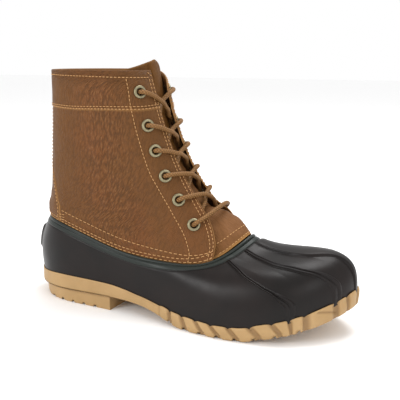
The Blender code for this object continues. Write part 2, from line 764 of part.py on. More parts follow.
def make_insole(parent):
    """Flat footbed on the sole's ledge, clear of the shell."""
    inset = LIP_WIDTH + RUBBER + 4 * CLEAR
    lateral, block = block_columns(-1)
    medial, _ = block_columns(1)
    keep = block <= 0
    seat = 2 * CLEAR
    stations = np.concatenate((stations_by_length(-1, lateral[keep]), [TOE],
                               stations_by_length(1, medial[keep])[:0:-1]))
    mesh = bmesh.new()
    rows = []
    for rise, extra in ((seat, 0.0), (seat + INSOLE * 0.7, 0.0), (seat + INSOLE, 0.0012)):
        plan = sole_plan(stations, inset + extra)
        rows.append(np.column_stack((plan, ledge(plan[:, 0]) + rise)))
    rows = add_grid(mesh, rows)
    for low, high in zip(rows, rows[1:]):
        bridge(mesh, low, high)
    cap(mesh, rows[0])
    cap(mesh, rows[-1])
    finish("insole", mesh, paint("footbed", (0.10, 0.07, 0.05), 0.9), parent)


def behind_edge(height, distance):
    """Stations from the toe of the point a distance behind the quarter's front edge."""
    start = float(along(QUARTER_EDGE, "lateral", height, by="height"))
    away = np.linspace(start, start + 3, 121)
    line = upper_at(TOE - away, height)
    way = np.concatenate(([0], np.cumsum(np.linalg.norm(np.diff(line, axis=0), axis=1))))
    return float(np.interp(distance, way, away))


def frame_on_upper(station, height):
    """Matrix at a point of the leather's face, Z out of the leather."""
    proud = CUFF_PROUD if height > cuff_edge() else 0.0
    point = Vector(upper_at(np.array([station]), np.array([height]), np.array([-proud]))[0])
    out = Vector(upper_normal(np.array([station]), np.array([height]))[0])
    turn = out.to_track_quat("Z", "Y").to_matrix().to_4x4()
    return Matrix.Translation(point) @ turn


def eyelet_frames():
    """Name and matrix of each eyelet, top one first on each side."""
    for side, sign in (("lateral", -1), ("medial", 1)):
        for number, (height, share) in enumerate(zip(EYELETS["height"], EYELETS["setback"]), start=1):
            away = behind_edge(height, EYELET_SETBACK * share)
            yield f"eyelet_{side}_{number}", frame_on_upper(TOE + sign * away, height)


def make_eyelets(parent):
    """Brass eyelets: a flanged barrel turned about Z, one mesh for all."""
    hole = EYELET_HOLE / 2
    barrel = EYELET_BARREL / 2
    outer = EYELET_OUTER / 2
    seat = outer ** 2 / BALL_WIDTH + 3 * CLEAR
    inside = -LEATHER - 4 * CLEAR
    crown = seat + EYELET_PROUD
    profile = ((hole, inside), (barrel, inside), (barrel, seat), (outer, seat),
               ((outer + hole) / 2, crown), (hole, (seat + crown) / 2))
    turn = np.arange(EYELET_SIDES) * 2 * np.pi / EYELET_SIDES
    brass = paint("brass", (0.36, 0.31, 0.20), 0.4, 1.0)
    data = None
    for name, frame in eyelet_frames():
        if data is None:
            mesh = bmesh.new()
            rows = add_grid(mesh, [[(r * np.cos(a), r * np.sin(a), z) for a in turn] for r, z in profile])
            for low, high in zip(rows, rows[1:] + rows[:1]):
                bridge(mesh, low, high)
            item = finish(name, mesh, brass, parent)
            data = item.data
        else:
            item = bpy.data.objects.new(name, data)
            bpy.context.scene.collection.objects.link(item)
            item.parent = parent
        item.matrix_local = frame


def smooth_route(points, count):
    """Points along the smooth curve through a few chosen ones."""
    points = np.array(points)
    padded = np.vstack((2 * points[0] - points[1], points, 2 * points[-1] - points[-2]))
    route = []
    for place in np.linspace(0, len(points) - 1, count):
        k = min(int(place), len(points) - 2)
        t = place - k
        a, b, c, d = padded[k:k + 4]
        route.append(0.5 * (2 * b + (c - a) * t + (2 * a - 5 * b + 4 * c - d) * t ** 2
                            + (3 * b - 3 * c + d - a) * t ** 3))
    return np.array(route)


def tube(mesh, route, radius):
    """Closed round tube along a route."""
    forward = unit(np.gradient(route, axis=0))
    side = unit(np.cross(forward, (1.0, 0.0, 0.3)))
    up = np.cross(side, forward)
    turn = np.arange(LACE_SIDES) * 2 * np.pi / LACE_SIDES
    rows = add_grid(mesh, [[p + radius * (np.cos(a) * s + np.sin(a) * u) for a in turn]
                           for p, s, u in zip(route, side, up)])
    for low, high in zip(rows, rows[1:]):
        bridge(mesh, low, high)
    mesh.faces.new(rows[0])
    mesh.faces.new(rows[-1])


def ring_edges():
    """Height of each eyelet, top one first, and stations from the toe at its ring's front edge."""
    ring_half = EYELET_OUTER / 2 + 2 * CLEAR
    return [(height, behind_edge(height, EYELET_SETBACK * share - ring_half))
            for height, share in zip(EYELETS["height"], EYELETS["setback"])]


def lace_route(start, low, sign):
    """Way of one lace from a ring's edge, over the tongue, to below the far quarter's edge."""
    high, away = start
    lift = LACE / 2 + 3 * CLEAR
    low += (high - low) * LACE_STOP
    middle = (high + low) / 2
    edge = float(along(QUARTER_EDGE, "lateral", low, by="height"))
    stations = (TOE + sign * away, TOE + sign * edge * 0.9, TOE, TOE - sign * edge * 0.62)
    heights = (high, high * 0.8 + middle * 0.2, middle, low)
    insets = (-lift, -lift, -lift * 0.6, LEATHER * 0.3)
    return [upper_at(np.array([s]), np.array([h]), np.array([d]))[0]
            for s, h, d in zip(stations, heights, insets)]


def make_laces(parent):
    """Crossings between neighbouring eyelets, and the bar at the lowest pair."""
    cotton = paint("lace", (0.30, 0.17, 0.07), 0.85)
    starts = ring_edges()
    for number, (start, following) in enumerate(zip(starts, starts[1:]), start=1):
        mesh = bmesh.new()
        tube(mesh, smooth_route(lace_route(start, following[0], -1), 8), LACE / 2)
        crossing = finish(f"lace_cross_{number}", mesh, cotton, parent)
        other = bmesh.new()
        tube(other, smooth_route(lace_route(start, following[0], 1), 8), LACE / 2)
        boolean(crossing, cutter(f"lace_other_{number}", other, cotton, parent), "UNION")
    height, away = starts[-1]
    stations = TOE + away * np.linspace(-1, 1, 7)
    mesh = bmesh.new()
    tube(mesh, upper_at(stations, height, np.full(7, -LACE / 2 - 3 * CLEAR)), LACE / 2)
    finish("lace_bar", mesh, cotton, parent)


def main():
    """Builds the boot in an empty scene."""
    for item in list(bpy.data.objects):
        bpy.data.objects.remove(item, do_unlink=True)
    boot = bpy.data.objects.new("boot", None)
    bpy.context.scene.collection.objects.link(boot)
    boot.location = (-HEEL_REST * LENGTH, 0, 0)
    make_outsole(boot)
    make_shell(boot)
    make_upper(boot)
    make_tongue(boot)
    make_insole(boot)
    make_eyelets(boot)
    make_laces(boot)


main()
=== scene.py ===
import bpy
import numpy as np
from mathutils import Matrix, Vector
from mathutils.kdtree import KDTree


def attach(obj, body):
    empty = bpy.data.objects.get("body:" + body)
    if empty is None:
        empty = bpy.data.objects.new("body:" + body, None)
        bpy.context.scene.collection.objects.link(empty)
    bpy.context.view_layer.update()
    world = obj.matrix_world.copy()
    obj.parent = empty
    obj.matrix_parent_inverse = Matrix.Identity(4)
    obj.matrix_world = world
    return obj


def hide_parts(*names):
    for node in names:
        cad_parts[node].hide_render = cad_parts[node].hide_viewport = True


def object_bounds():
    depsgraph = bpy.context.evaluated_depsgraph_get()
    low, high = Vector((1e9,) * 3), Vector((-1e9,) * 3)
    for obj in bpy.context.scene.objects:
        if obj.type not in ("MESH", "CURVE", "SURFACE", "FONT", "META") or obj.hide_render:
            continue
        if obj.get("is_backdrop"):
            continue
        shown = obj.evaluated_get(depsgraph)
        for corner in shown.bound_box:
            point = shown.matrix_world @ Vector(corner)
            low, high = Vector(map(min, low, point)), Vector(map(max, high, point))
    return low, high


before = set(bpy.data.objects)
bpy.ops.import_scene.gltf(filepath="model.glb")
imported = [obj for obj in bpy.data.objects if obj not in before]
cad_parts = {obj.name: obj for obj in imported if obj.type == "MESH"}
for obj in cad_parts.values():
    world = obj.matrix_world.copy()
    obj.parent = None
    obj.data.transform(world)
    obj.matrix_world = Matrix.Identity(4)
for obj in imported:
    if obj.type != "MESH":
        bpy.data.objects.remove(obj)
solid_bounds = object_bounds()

# Looks of the right duck boot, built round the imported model. As in the part's own source,
# X runs from the outsole's back edge to the toe, Y is positive on the medial side, Z is up,
# and lengths are in metres. ORIGIN then moves every piece to the heel's rest.

# Sizes shared with the solids
LENGTH = 0.305
BALL_WIDTH = 0.112
COLLAR_HEIGHT = 0.211
HEEL_BLOCK = 0.0125
TOE_SPRING = 0.025
SOLE_THICK = 0.013
LEATHER = 0.0024
RUBBER = 0.0030
FLANGE = 0.0014
CLEAR = 0.0003
NEST = 0.0009
LIP_WIDTH = 0.0014
LIP_HEIGHT = 0.0022
LEDGE_WIDTH = 0.0076
HEEL_REST = 0.155
FOREFOOT_REST = 0.655
HEEL_BREAST = 0.315
ORIGIN = np.array([-HEEL_REST * LENGTH, 0, 0])

# Mesh columns on each side of the outsole, and the last of its wall's upper rows, above the tread
SOLE_COLUMNS = 520
TOP_ROWS = 8

# Side blocks of the outsole. Shoulder and dome are counted in blocks from the middle of a gap, and
# the slant grows and fades at shares of the way from the heel's back to the toe.
BLOCK_SHOULDER = (0.07, 0.22)
BLOCK_DOME = 0.34
SLANT_GROWS = (0.5, 0.6)
SLANT_FADES = (0.77, 0.83)
BLOCK_SWELL = 0.00055
BLOCK_FACET = 0.00035
CREASE_RELIEF = 0.0009
BLOCK_RELIEF = 0.0014
BLOCK_SCALLOP = 0.0011
BLOCK_SLANT = 0.0060
EDGE_ROUND = 0.0016

# Gaps between the side blocks, as shares of the way from the heel's back to the toe. The first
# lies one block behind the real ones, and the long block near the toe has a crease across it.
BLOCK_GAPS = (0.448, 0.4832, 0.5164, 0.5512, 0.5906, 0.6310, 0.6751,
              0.7264, 0.7759, 0.8165, 0.8502, 0.9316, 0.9617, 1.0)
LONG_BLOCK_CREASE = {"phase": (9.35, 10.0), "depth": (0.10, 0.68), "width": 0.07}

# Tread
TREAD_DEPTH = 0.0022
TREAD_GROOVE = 0.0030
TREAD_ZIGZAG = 0.0025
TREAD_WAVE = 0.018
HEEL_TREAD = {"rest": HEEL_REST, "pitch": 0.0125, "start": 0.045, "end": HEEL_BREAST - 0.02}
FOREFOOT_TREAD = {"rest": FOREFOOT_REST, "pitch": 0.0155, "start": 0.50, "end": 0.93}

# Wall of the heel block from the floor up: height in HEEL_BLOCK, and inset at the back in metres
HEEL_PROFILE = ((0.0, 0.0070), (0.02, 0.0063), (0.06, 0.0059), (0.12, 0.0056), (0.22, 0.0053),
                (0.4, 0.0051), (0.6, 0.0049), (0.75, 0.0048), (0.85, 0.0046), (0.93, 0.0040),
                (0.98, 0.0028), (1.05, 0.0006))

# Rim of the rubber shell
BEAD_WIDTH = 0.0030
BEAD_PROUD = 0.0010
BAND_WIDTH = 0.0072
BAND_PROUD = 0.0006
BAND_SOFT = 0.0005
BEAD_GROOVE = 0.0006
BAND_GROOVE = 0.0005
RIM_TURN = 0.0008
FLANGE_HEIGHT = 0.0110
RIB_PROUD = 0.0019
RIB_START = 0.0035

# Distances in metres of the mesh's upper rows from the rim, closer where the profile turns
RIM_ROWS = np.array([0, 0.12, 0.35, 0.65, 1.0, 1.3, 1.6, 1.95, 2.25, 2.45, 2.6, 2.8, 3.05, 3.4,
                     4.2, 5.0, 5.5, 5.85, 6.1, 6.35, 6.6, 6.9, 7.3, 7.8, 8.4, 9.2]) / 1000

# Mesh columns of the shell between its ribs' borders, and how many half widths from the middle of
# a rib those lie
SHELL_COLUMNS = (190, 34, 30, 34, 30, 34)
RIB_SPREAD = 2.2
MIDDLE_RIB_SPREAD = 1.4

# Heel patch and its sunk field: soft borders in stations from the heel's back, and in shares of
# the way from sole to rim
PATCH_PROUD = 0.0022
PATCH_SUNK = 0.0007
PATCH = {"back": (0.55, 0.72), "low": (0.30, 0.38), "high": (0.70, 0.78)}
PATCH_FIELD = {"back": (0.40, 0.50), "low": (0.40, 0.45), "high": (0.63, 0.68)}

# Leather shaft and tongue
CUFF_PROUD = 0.0006
BACKSTAY_PROUD = 0.0006
HEEL_PUFF = 0.0022
TONGUE_RISE = 0.010
TONGUE_SINK = 0.0052
TONGUE_PEAK = 0.30
TONGUE_BULGE = 0.0030
TONGUE_RIPPLE = 0.0003
TONGUE_EDGE_ROLL = 0.0010
# About how wide a station is at the tongue, for its edges and for its grain
TONGUE_STATION = 0.016
SKIN_STATION = 0.03

# Folded and redder areas of the leather: middle at the rim in stations from the heel's back, its
# move up to the collar, and width
FOLDED = {"middle": 3.65, "move": 0.7, "width": 1.45}
REDDER = {"middle": 3.9, "move": 0.4, "width": 1.7}

# Surface of the leather: rolled edges, foot, seams, ripple and the press of the eyelets
EDGE_ROLL = 0.0011
FOOT_TURN = 0.0012
FOOT_SINK = 0.0006
FOOT_SINK_SPAN = 0.0015
SEAM_SINK = 0.00028
SEAM_SINK_WIDTH = 0.0010
RIPPLE = 0.00022
RIPPLE_WAVE = 0.022
RIPPLE_START = 0.02
EYELET_PRESS = 0.00045
EYELET_PRESS_SPAN = (0.004, 0.0095)
HOLE_ROOM = 0.0004

# Lining: gap to the solid's inner face, room round the eyelets, start in stations from the edge
LINING_GAP = 0.00025
LINING_HOLE_ROOM = 0.0006
LINING_START = 0.3

# Mesh columns near a front edge and rows near the collar, by their distance from it
COLUMNS_AT_EDGE = (0.0, 0.00025, 0.0006, 0.0011, 0.0017, 0.0024, 0.0032)
ROWS_AT_COLLAR = (0.0, 0.0002, 0.0005, 0.0010, 0.0016, 0.0024)

# How the leather turns in at its edges: depth under its face, distance down from the collar,
# and mesh columns in from the front edge
TURN_IN = {
    "depth": (0.0018, LEATHER, LEATHER),
    "down": (0.0002, 0.0008, 0.0062),
    "columns": (6, 10, 16),
}

# Eyelets and lace
EYELET_OUTER = 0.0112
EYELET_HOLE = 0.0058
EYELET_BARREL = 0.0074
EYELET_PROUD = 0.0012
EYELET_SETBACK = 0.0185
LACE = 0.0040
LACE_STEP = 0.0005
LACE_SIDES = 24
LACE_STRANDS = 4
LACE_BRAID = 0.0085
LACE_GAP = 0.0002
LACE_PRESS = 0.0006

# Stitches
STITCH_PITCH = 0.0033
RIM_PITCH = 0.0044
STITCH_SHARE = 0.72
THREAD = 0.00036
STITCH_SINK = 0.00012
STITCH_SIDES = 6

# Shape of a stitch: places along it as shares of its length, lift and radius in THREAD
STITCH = {
    "place": (-0.5, -0.42, -0.22, 0.0, 0.22, 0.42, 0.5),
    "lift": (-0.7, 0.1, 0.75, 0.95, 0.75, 0.1, -0.7),
    "radius": (0.35, 0.8, 1.0, 1.0, 1.0, 0.8, 0.35),
}

# Seams: heights as shares from rim to collar, front distances and rim rises in metres, and for
# the tongue the height in its middle and the rise to its sides
COLLAR_SEAM = 0.969
CUFF_SEAMS = (0.0045, 0.0165)
FRONT_SEAMS = (0.0024, 0.0056)
RIM_SEAMS = (0.0016, 0.0048)
RIM_SEAM_START = 2.06
HEEL_RIM_SEAMS = (0.0018, 0.0050)
STAY_FOOT_SEAMS = (0.020, 0.040, 0.060)
TONGUE_SEAMS = ((0.016, 0.0), (0.050, 0.012))

# Lights by name: place, size and power in watts, all turned to one point
LIGHTS = (
    ("key", (-0.50, -1.15, 0.62), 0.42, 6.5),
    ("fill", (1.25, -0.75, 0.60), 0.6, 2.5),
    ("top", (0.25, 0.35, 1.50), 0.9, 15.0),
)
LIGHTS_AIM = (0.1, 0, 0.08)

# Camera: place, turn to the left of the Y axis and downward tilt in degrees, lens in millimetres
CAMERA_PLACE = (0.3713, -0.53875, 0.223)
CAMERA_TURN = 26.5
CAMERA_TILT = 11.70
CAMERA_LENS = 62.82
CAMERA_SHIFT = 0.0415
FLOOR_REACH = 6.0

# Outline of the sole by stations: 0 is the heel's back, 1 to 7 the lateral side, 8 the toe,
# 9 to 15 the medial side. x is in LENGTH, y in half BALL_WIDTH.
SOLE_PLAN = {
    "x": (0.000, 0.035, 0.130, 0.300, 0.470, 0.640, 0.780, 0.900,
          1.000, 0.925, 0.800, 0.650, 0.480, 0.310, 0.140, 0.035),
    "y": (0.00, -0.40, -0.68, -0.72, -0.83, -0.99, -0.95, -0.67,
          0.06, 0.67, 0.93, 0.92, 0.665, 0.595, 0.69, 0.40),
}
STATIONS = len(SOLE_PLAN["x"])
TOE = STATIONS / 2

# Side view of the sole: underside as shares of HEEL_BLOCK and TOE_SPRING, thickness in SOLE_THICK
SOLE_SIDE = {
    "x": (0.00, 0.05, 0.14, 0.31, 0.37, 0.42, 0.465, 0.51, 0.55, 0.575,
          0.66, 0.735, 0.79, 0.85, 0.905, 0.955, 1.00),
    "block": (1.00, 1.00, 1.02, 1.00, 0.97, 0.88, 0.68, 0.36, 0.07, 0.00,
              0.00, 0.00, 0.00, 0.00, 0.00, 0.00, 0.00),
    "spring": (0.00, 0.00, 0.00, 0.00, 0.00, 0.00, 0.00, 0.00, 0.00, 0.00,
               0.00, 0.00, 0.13, 0.29, 0.48, 0.72, 1.00),
    "thick": (0.88, 0.95, 1.04, 0.94, 0.80, 0.69, 0.70, 0.78, 0.85, 0.87,
              0.74, 0.82, 0.88, 0.93, 0.96, 1.00, 1.00),
}

# Rings of the upper, stations 0 to 8: rim, two handles that bend the wall, and collar
RINGS = {
    "rim": {
        "x": (0.044, 0.062, 0.132, 0.251, 0.370, 0.498, 0.607, 0.675, 0.702),
        "y": (0.00, -0.30, -0.59, -0.67, -0.70, -0.70, -0.614, -0.35, 0.00),
        "z": (0.359, 0.358, 0.352, 0.307, 0.265, 0.249, 0.257, 0.312, 0.351),
    },
    "low": {
        "x": (0.062, 0.079, 0.136, 0.230, 0.325, 0.408, 0.465, 0.499, 0.508),
        "y": (0.00, -0.32, -0.56, -0.625, -0.64, -0.62, -0.52, -0.29, 0.00),
        "z": (0.560, 0.555, 0.531, 0.493, 0.468, 0.462, 0.484, 0.526, 0.540),
    },
    "high": {
        "x": (0.070, 0.088, 0.137, 0.216, 0.303, 0.383, 0.438, 0.469, 0.476),
        "y": (0.00, -0.33, -0.57, -0.66, -0.67, -0.625, -0.49, -0.277, 0.00),
        "z": (0.782, 0.782, 0.777, 0.758, 0.739, 0.710, 0.682, 0.668, 0.664),
    },
    "top": {
        "x": (0.074, 0.092, 0.138, 0.201, 0.270, 0.334, 0.379, 0.399, 0.405),
        "y": (0.00, -0.35, -0.60, -0.715, -0.74, -0.69, -0.52, -0.277, 0.00),
        "z": (1.00, 1.00, 1.00, 1.00, 1.00, 1.00, 1.00, 1.00, 1.00),
    },
}

# Profile of the rubber shell between sole and rim, stations 0 to 8
SHELL_PROFILE = {
    "rise": (0.55, 0.55, 0.50, 0.50, 0.50, 0.55, 0.75, 1.18, 1.40),
    "bulge": (0.093, 0.08, 0.03, 0.02, 0.02, 0.03, 0.045, 0.05, 0.05),
    "reach": (0.80, 0.80, 0.60, 0.50, 0.45, 0.47, 0.50, 0.42, 0.36),
    "drop": (0.20, 0.20, 0.15, 0.12, 0.08, 0.05, 0.08, 0.35, 0.55),
}

# Ribs over the toe: stations before the toe at the rim and at the sole, half widths there
RIBS = {
    "at_rim": (0.00, 0.66, 1.30),
    "at_sole": (0.00, 0.47, 1.25),
    "half_rim": (0.20, 0.055, 0.045),
    "half_sole": (0.12, 0.075, 0.09),
}

# How far the ribs bow outwards, in stations, over the way from the sole (0) to the rim (1)
RIB_BOW = {
    "share": (0.00, 0.10, 0.20, 0.27, 0.40, 0.58, 0.78, 0.90, 1.00),
    "out": (0.00, 0.00, 0.07, 0.14, 0.28, 0.35, 0.24, 0.15, 0.10),
}

# Front edge of the quarters: stations from the toe, over the height from rim (0) to collar (1)
QUARTER_EDGE = {
    "height": (0.00, 0.07, 0.18, 0.40, 0.88, 0.93, 0.965, 1.00),
    "lateral": (1.70, 1.26, 0.92, 0.74, 0.59, 0.58, 0.57, 0.56),
    "medial": (1.70, 1.26, 0.92, 0.74, 0.80, 1.10, 1.80, 2.90),
}

# Fuller low instep: its shift in metres along X, Y and Z, and where it grows and fades
INSTEP = {
    "shift": (0.0029, 0.0015, 0.0032),
    "stations": (7.2, 8.4, 8.9, 10.0),
    "heights": (0.00, 0.13, 0.14, 0.27),
}

# Half width of the backstay in stations, over the height from rim to collar
BACKSTAY = {
    "height": (0.00, 0.10, 0.21, 0.32, 0.45, 1.00),
    "station": (2.02, 1.98, 1.80, 1.52, 1.10, 0.80),
}

# Lower edge of the cuff: its height by stations from the heel's back
CUFF = {
    "station": (0.0, 1.6, 5.5, 8.0),
    "height": (0.765, 0.770, 0.822, 0.838),
}

# Half width of the tongue in stations, over the height
TONGUE_EDGE = {
    "height": (0.00, 0.20, 0.60, 1.00),
    "station": (1.85, 1.75, 2.10, 2.70),
}

# The six eyelets of a side, top one first
EYELETS = {
    "height": (0.908, 0.752, 0.622, 0.480, 0.334, 0.185),
    "setback": (1.00, 1.00, 0.98, 0.95, 0.86, 0.78),
    "drop": (0.26, 0.31, 0.29, 0.21, 0.16, 0.00),
}

# Stitched line behind the eyelets: stations from the heel's back, over the height
EYESTAY = {
    "height": (0.003, 0.075, 0.179, 0.298, 0.411, 0.527, 0.658, 0.743, 0.843, 0.925, 0.972),
    "station": (5.59, 5.85, 5.98, 5.93, 5.79, 5.60, 5.53, 5.50, 5.52, 5.60, 5.62),
}

# Upper one of the three stitched rows along the rim: height by stations from the heel's back
RIM_ROW = {
    "station": (1.9, 2.2, 3.3, 4.6, 5.3, 5.8, 6.4),
    "height": (0.098, 0.096, 0.092, 0.076, 0.060, 0.047, 0.036),
}

# Wrinkles of the grain: lean in radians, length as a stretch, and cells to the metre
LEAN = -0.26
STRETCH = 0.34
WRINKLES = 470.0
FINE_WRINKLES = 860.0
PEBBLES = 900.0

# Creases of the leather: stations from the heel's back and heights of both ends, a sideways bow in
# stations, depth and half width in metres, and the side (-1 is lateral)
CREASES = (
    ("from_back", "from_height", "to_back", "to_height", "bow", "depth", "half_width", "side"),
    (3.30, 0.16, 3.95, 0.72, 0.12, 0.00045, 0.0040, -1),
    (3.80, 0.10, 4.25, 0.80, -0.10, 0.00055, 0.0036, -1),
    (4.25, 0.22, 4.75, 0.78, 0.10, 0.00045, 0.0034, -1),
    (4.60, 0.12, 4.95, 0.56, -0.08, 0.00050, 0.0040, -1),
    (2.90, 0.30, 3.30, 0.64, 0.05, 0.00035, 0.0042, -1),
    (1.75, 0.115, 3.10, 0.175, 0.00, 0.00060, 0.0045, -1),
    (5.05, 0.30, 5.85, 0.20, 0.00, 0.00050, 0.0045, -1),
    (4.60, 0.40, 5.50, 0.33, 0.00, 0.00035, 0.0050, -1),
    (2.60, 0.86, 4.40, 0.90, 0.00, 0.00035, 0.0060, -1),
    (3.20, 0.20, 3.85, 0.70, 0.10, 0.00045, 0.0042, 1),
    (3.90, 0.12, 4.30, 0.74, -0.12, 0.00055, 0.0038, 1),
    (4.50, 0.18, 4.85, 0.62, 0.10, 0.00045, 0.0040, 1),
    (1.80, 0.12, 3.20, 0.18, 0.00, 0.00060, 0.0045, 1),
    (4.90, 0.32, 5.80, 0.22, 0.00, 0.00055, 0.0045, 1),
    (0.00, 0.16, 1.50, 0.13, 0.00, 0.00055, 0.0042, -1),
    (0.00, 0.16, 1.50, 0.13, 0.00, 0.00055, 0.0042, 1),
)

# Creases across the tongue: height, share of its half width at both ends, slope, depth and half
# width in metres
TONGUE_CREASES = (
    ("height", "from_across", "to_across", "slope", "depth", "half_width"),
    (0.24, -0.50, 0.45, 0.02, 0.00080, 0.0040),
    (0.33, -0.45, 0.50, -0.03, 0.00100, 0.0045),
    (0.43, -0.50, 0.40, 0.02, 0.00080, 0.0040),
    (0.56, -0.40, 0.50, -0.02, 0.00060, 0.0050),
    (0.12, -0.20, 0.60, 0.02, 0.00050, 0.0050),
    (0.88, -0.60, 0.50, -0.05, 0.00060, 0.0060),
)


# Curves and small helpers

def closed_curve(rows, station):
    """Point at a station of the smooth closed curve through one row for each station."""
    rows = np.asarray(rows, dtype=float)
    count = len(rows)
    near = np.roll(np.eye(count), 1, axis=1) + np.roll(np.eye(count), -1, axis=1)
    turn = np.roll(rows, -1, axis=0) - 2 * rows + np.roll(rows, 1, axis=0)
    bend = np.linalg.solve(4 * np.eye(count) + near, 6 * turn)
    station = np.asarray(station, dtype=float)[..., None]
    share = station - np.floor(station)
    this = np.floor(station[..., 0]).astype(int) % count
    following = (this + 1) % count
    straight = (1 - share) * rows[this] + share * rows[following]
    curved = ((1 - share) ** 3 - 1 + share) * bend[this] + (share ** 3 - share) * bend[following]
    return straight + curved / 6


def along(table, key, value, by="x"):
    """Column key of a table at value, by cubics that never overshoot the rows."""
    x = np.asarray(table[by])
    y = np.asarray(table[key])
    step = np.diff(x)
    slope = np.diff(y) / step
    tangent = np.concatenate(([slope[0]], np.zeros(len(x) - 2), [slope[-1]]))
    same = slope[:-1] * slope[1:] > 0
    pair = np.where(same, slope[:-1] + slope[1:], 1)
    tangent[1:-1] = np.where(same, 2 * slope[:-1] * slope[1:] / pair, 0)
    value = np.clip(value, x[0], x[-1])
    k = np.clip(np.searchsorted(x, value, side="right") - 1, 0, len(x) - 2)
    t = (value - x[k]) / step[k]
    ends = (1 + 2 * t) * (1 - t) ** 2 * y[k] + t * t * (3 - 2 * t) * y[k + 1]
    return ends + step[k] * (t * (1 - t) ** 2 * tangent[k] - t * t * (1 - t) * tangent[k + 1])


def both_sides(half, sign=1):
    """Column for all stations from the one for stations 0 to 8."""
    half = np.asarray(half, dtype=float)
    return np.concatenate((half, sign * half[-2:0:-1]))


def ease(value, start, end):
    """Smooth step from 0 at start to 1 at end."""
    t = np.clip((np.asarray(value, dtype=float) - start) / (end - start), 0, 1)
    return t * t * (3 - 2 * t)


def bell(value, width):
    """Soft hump of height 1 at value 0."""
    return np.exp(-(np.asarray(value) / width) ** 2)


def unit(vectors):
    """Vectors scaled to length one."""
    length = np.linalg.norm(vectors, axis=-1, keepdims=True)
    return vectors / np.maximum(length, 1e-12)


def way_along(line):
    """Distance from the start at each point of a line, or of each row of lines."""
    step = np.linalg.norm(np.diff(line, axis=-2), axis=-1)
    start = np.zeros(step.shape[:-1] + (1,))
    return np.concatenate((start, np.cumsum(step, axis=-1)), axis=-1)


def points_at(places, way, line):
    """Points of a line at places of its way."""
    return np.stack([np.interp(places, way, line[:, k]) for k in range(3)], axis=-1)


def rows_of(table):
    """Rows of a table whose first row names the columns."""
    for row in table[1:]:
        yield dict(zip(table[0], row))


def ripple(points, wave, seed):
    """Slow unevenness between -1 and 1, from a few crossed sines."""
    rng = np.random.default_rng(seed)
    total = np.zeros(points.shape[:-1])
    for _ in range(7):
        turn = unit(rng.normal(size=3)) * 2 * np.pi / (wave * rng.uniform(0.7, 1.5))
        total += np.sin(points @ turn + rng.uniform(0, 2 * np.pi))
    return total / 4


# Sole shapes

def sole_plan(station, inset=0.0):
    """Outline of the sole, moved inwards by inset."""
    rows = np.column_stack((SOLE_PLAN["x"], SOLE_PLAN["y"])) * (LENGTH, BALL_WIDTH / 2)
    point = closed_curve(rows, station)
    step = 0.02
    tangent = unit(closed_curve(rows, station + step) - closed_curve(rows, station - step))
    inward = np.stack((-tangent[..., 1], tangent[..., 0]), axis=-1)
    return point + inward * np.asarray(inset)[..., None]


def sole_under(x):
    """Height of the sole's underside, without the heel block."""
    block = HEEL_BLOCK * along(SOLE_SIDE, "block", x / LENGTH)
    spring = TOE_SPRING * along(SOLE_SIDE, "spring", x / LENGTH)
    return block + spring


def sole_top(x):
    """Height of the border between gum sole and rubber shell."""
    return sole_under(x) + SOLE_THICK * along(SOLE_SIDE, "thick", x / LENGTH)


def ledge(x):
    """Height of the sole's top inside its lip."""
    return sole_top(x) - LIP_HEIGHT


def side_line(side):
    """Stations, outline and way shares from the heel's back to the toe, -1 lateral, 1 medial."""
    dense = np.linspace(0, TOE, 801)
    stations = dense if side < 0 else STATIONS - dense
    plan = sole_plan(stations)
    way = way_along(plan)
    return stations, plan, way / way[-1]


def stations_by_length(side, shares):
    """Stations on a side at shares of the way from the heel's back to the toe."""
    stations, _, way = side_line(side)
    return np.interp(shares, way, stations)


def share_at(side, x):
    """Share of the way on a side at which the outline passes x."""
    _, plan, way = side_line(side)
    return float(np.interp(x, plan[:, 0], way))


# Upper shapes

def ring(name, station):
    """Ring of the upper at a station."""
    table = RINGS[name]
    rows = np.column_stack((both_sides(table["x"]) * LENGTH,
                            both_sides(table["y"], -1) * BALL_WIDTH / 2,
                            both_sides(table["z"]) * COLLAR_HEIGHT))
    return closed_curve(rows, station)


def upper_wall(station, height):
    """Plain outer face of the upper, from the rim (height 0) to the collar (1) and straight on."""
    rim = ring("rim", station)
    low = ring("low", station)
    high = ring("high", station)
    top = ring("top", station)
    t = np.clip(height, 0, 1)[..., None]
    beyond = np.maximum(height - 1, 0)[..., None]
    inside = (1 - t) ** 3 * rim + 3 * (1 - t) ** 2 * t * low + 3 * (1 - t) * t ** 2 * high + t ** 3 * top
    start, full, fading, end = INSTEP["heights"]
    puff = np.sin(np.pi / 2 * np.clip((height - start) / full, 0, 1)) * (1 - ease(height, fading, end))
    start, full, fading, end = INSTEP["stations"]
    around = station % STATIONS
    puff = puff * ease(around, start, full) * (1 - ease(around, fading, end))
    return inside + beyond * 3 * (top - high) + puff[..., None] * INSTEP["shift"]


def upper_normal(station, height):
    """Outward direction of the upper's outer face."""
    step = 0.02
    round_it = upper_wall(station + step, height) - upper_wall(station - step, height)
    level = np.maximum(height, step)
    up_it = upper_wall(station, level + step) - upper_wall(station, level - step)
    return unit(np.cross(round_it, up_it))


def upper_at(station, height, inset=0.0):
    """Point of the upper, inset inwards from its plain outer face."""
    station = np.asarray(station, dtype=float)
    height = np.asarray(height, dtype=float) + 0 * station
    return upper_wall(station, height) - upper_normal(station, height) * np.asarray(inset)[..., None]


def height_share(size):
    """Share of the leather's height, from rim to collar at the sides, that a size takes."""
    return size / ((1 - RINGS["rim"]["z"][4]) * COLLAR_HEIGHT)


def from_back(station):
    """Stations from the heel's back, the same on both sides."""
    return abs((np.asarray(station) + TOE) % STATIONS - TOE)


def edge_at(side, height):
    """Stations from the toe of a quarter's front edge, side -1 lateral, 1 medial."""
    return along(QUARTER_EDGE, "lateral" if side < 0 else "medial", height, by="height")


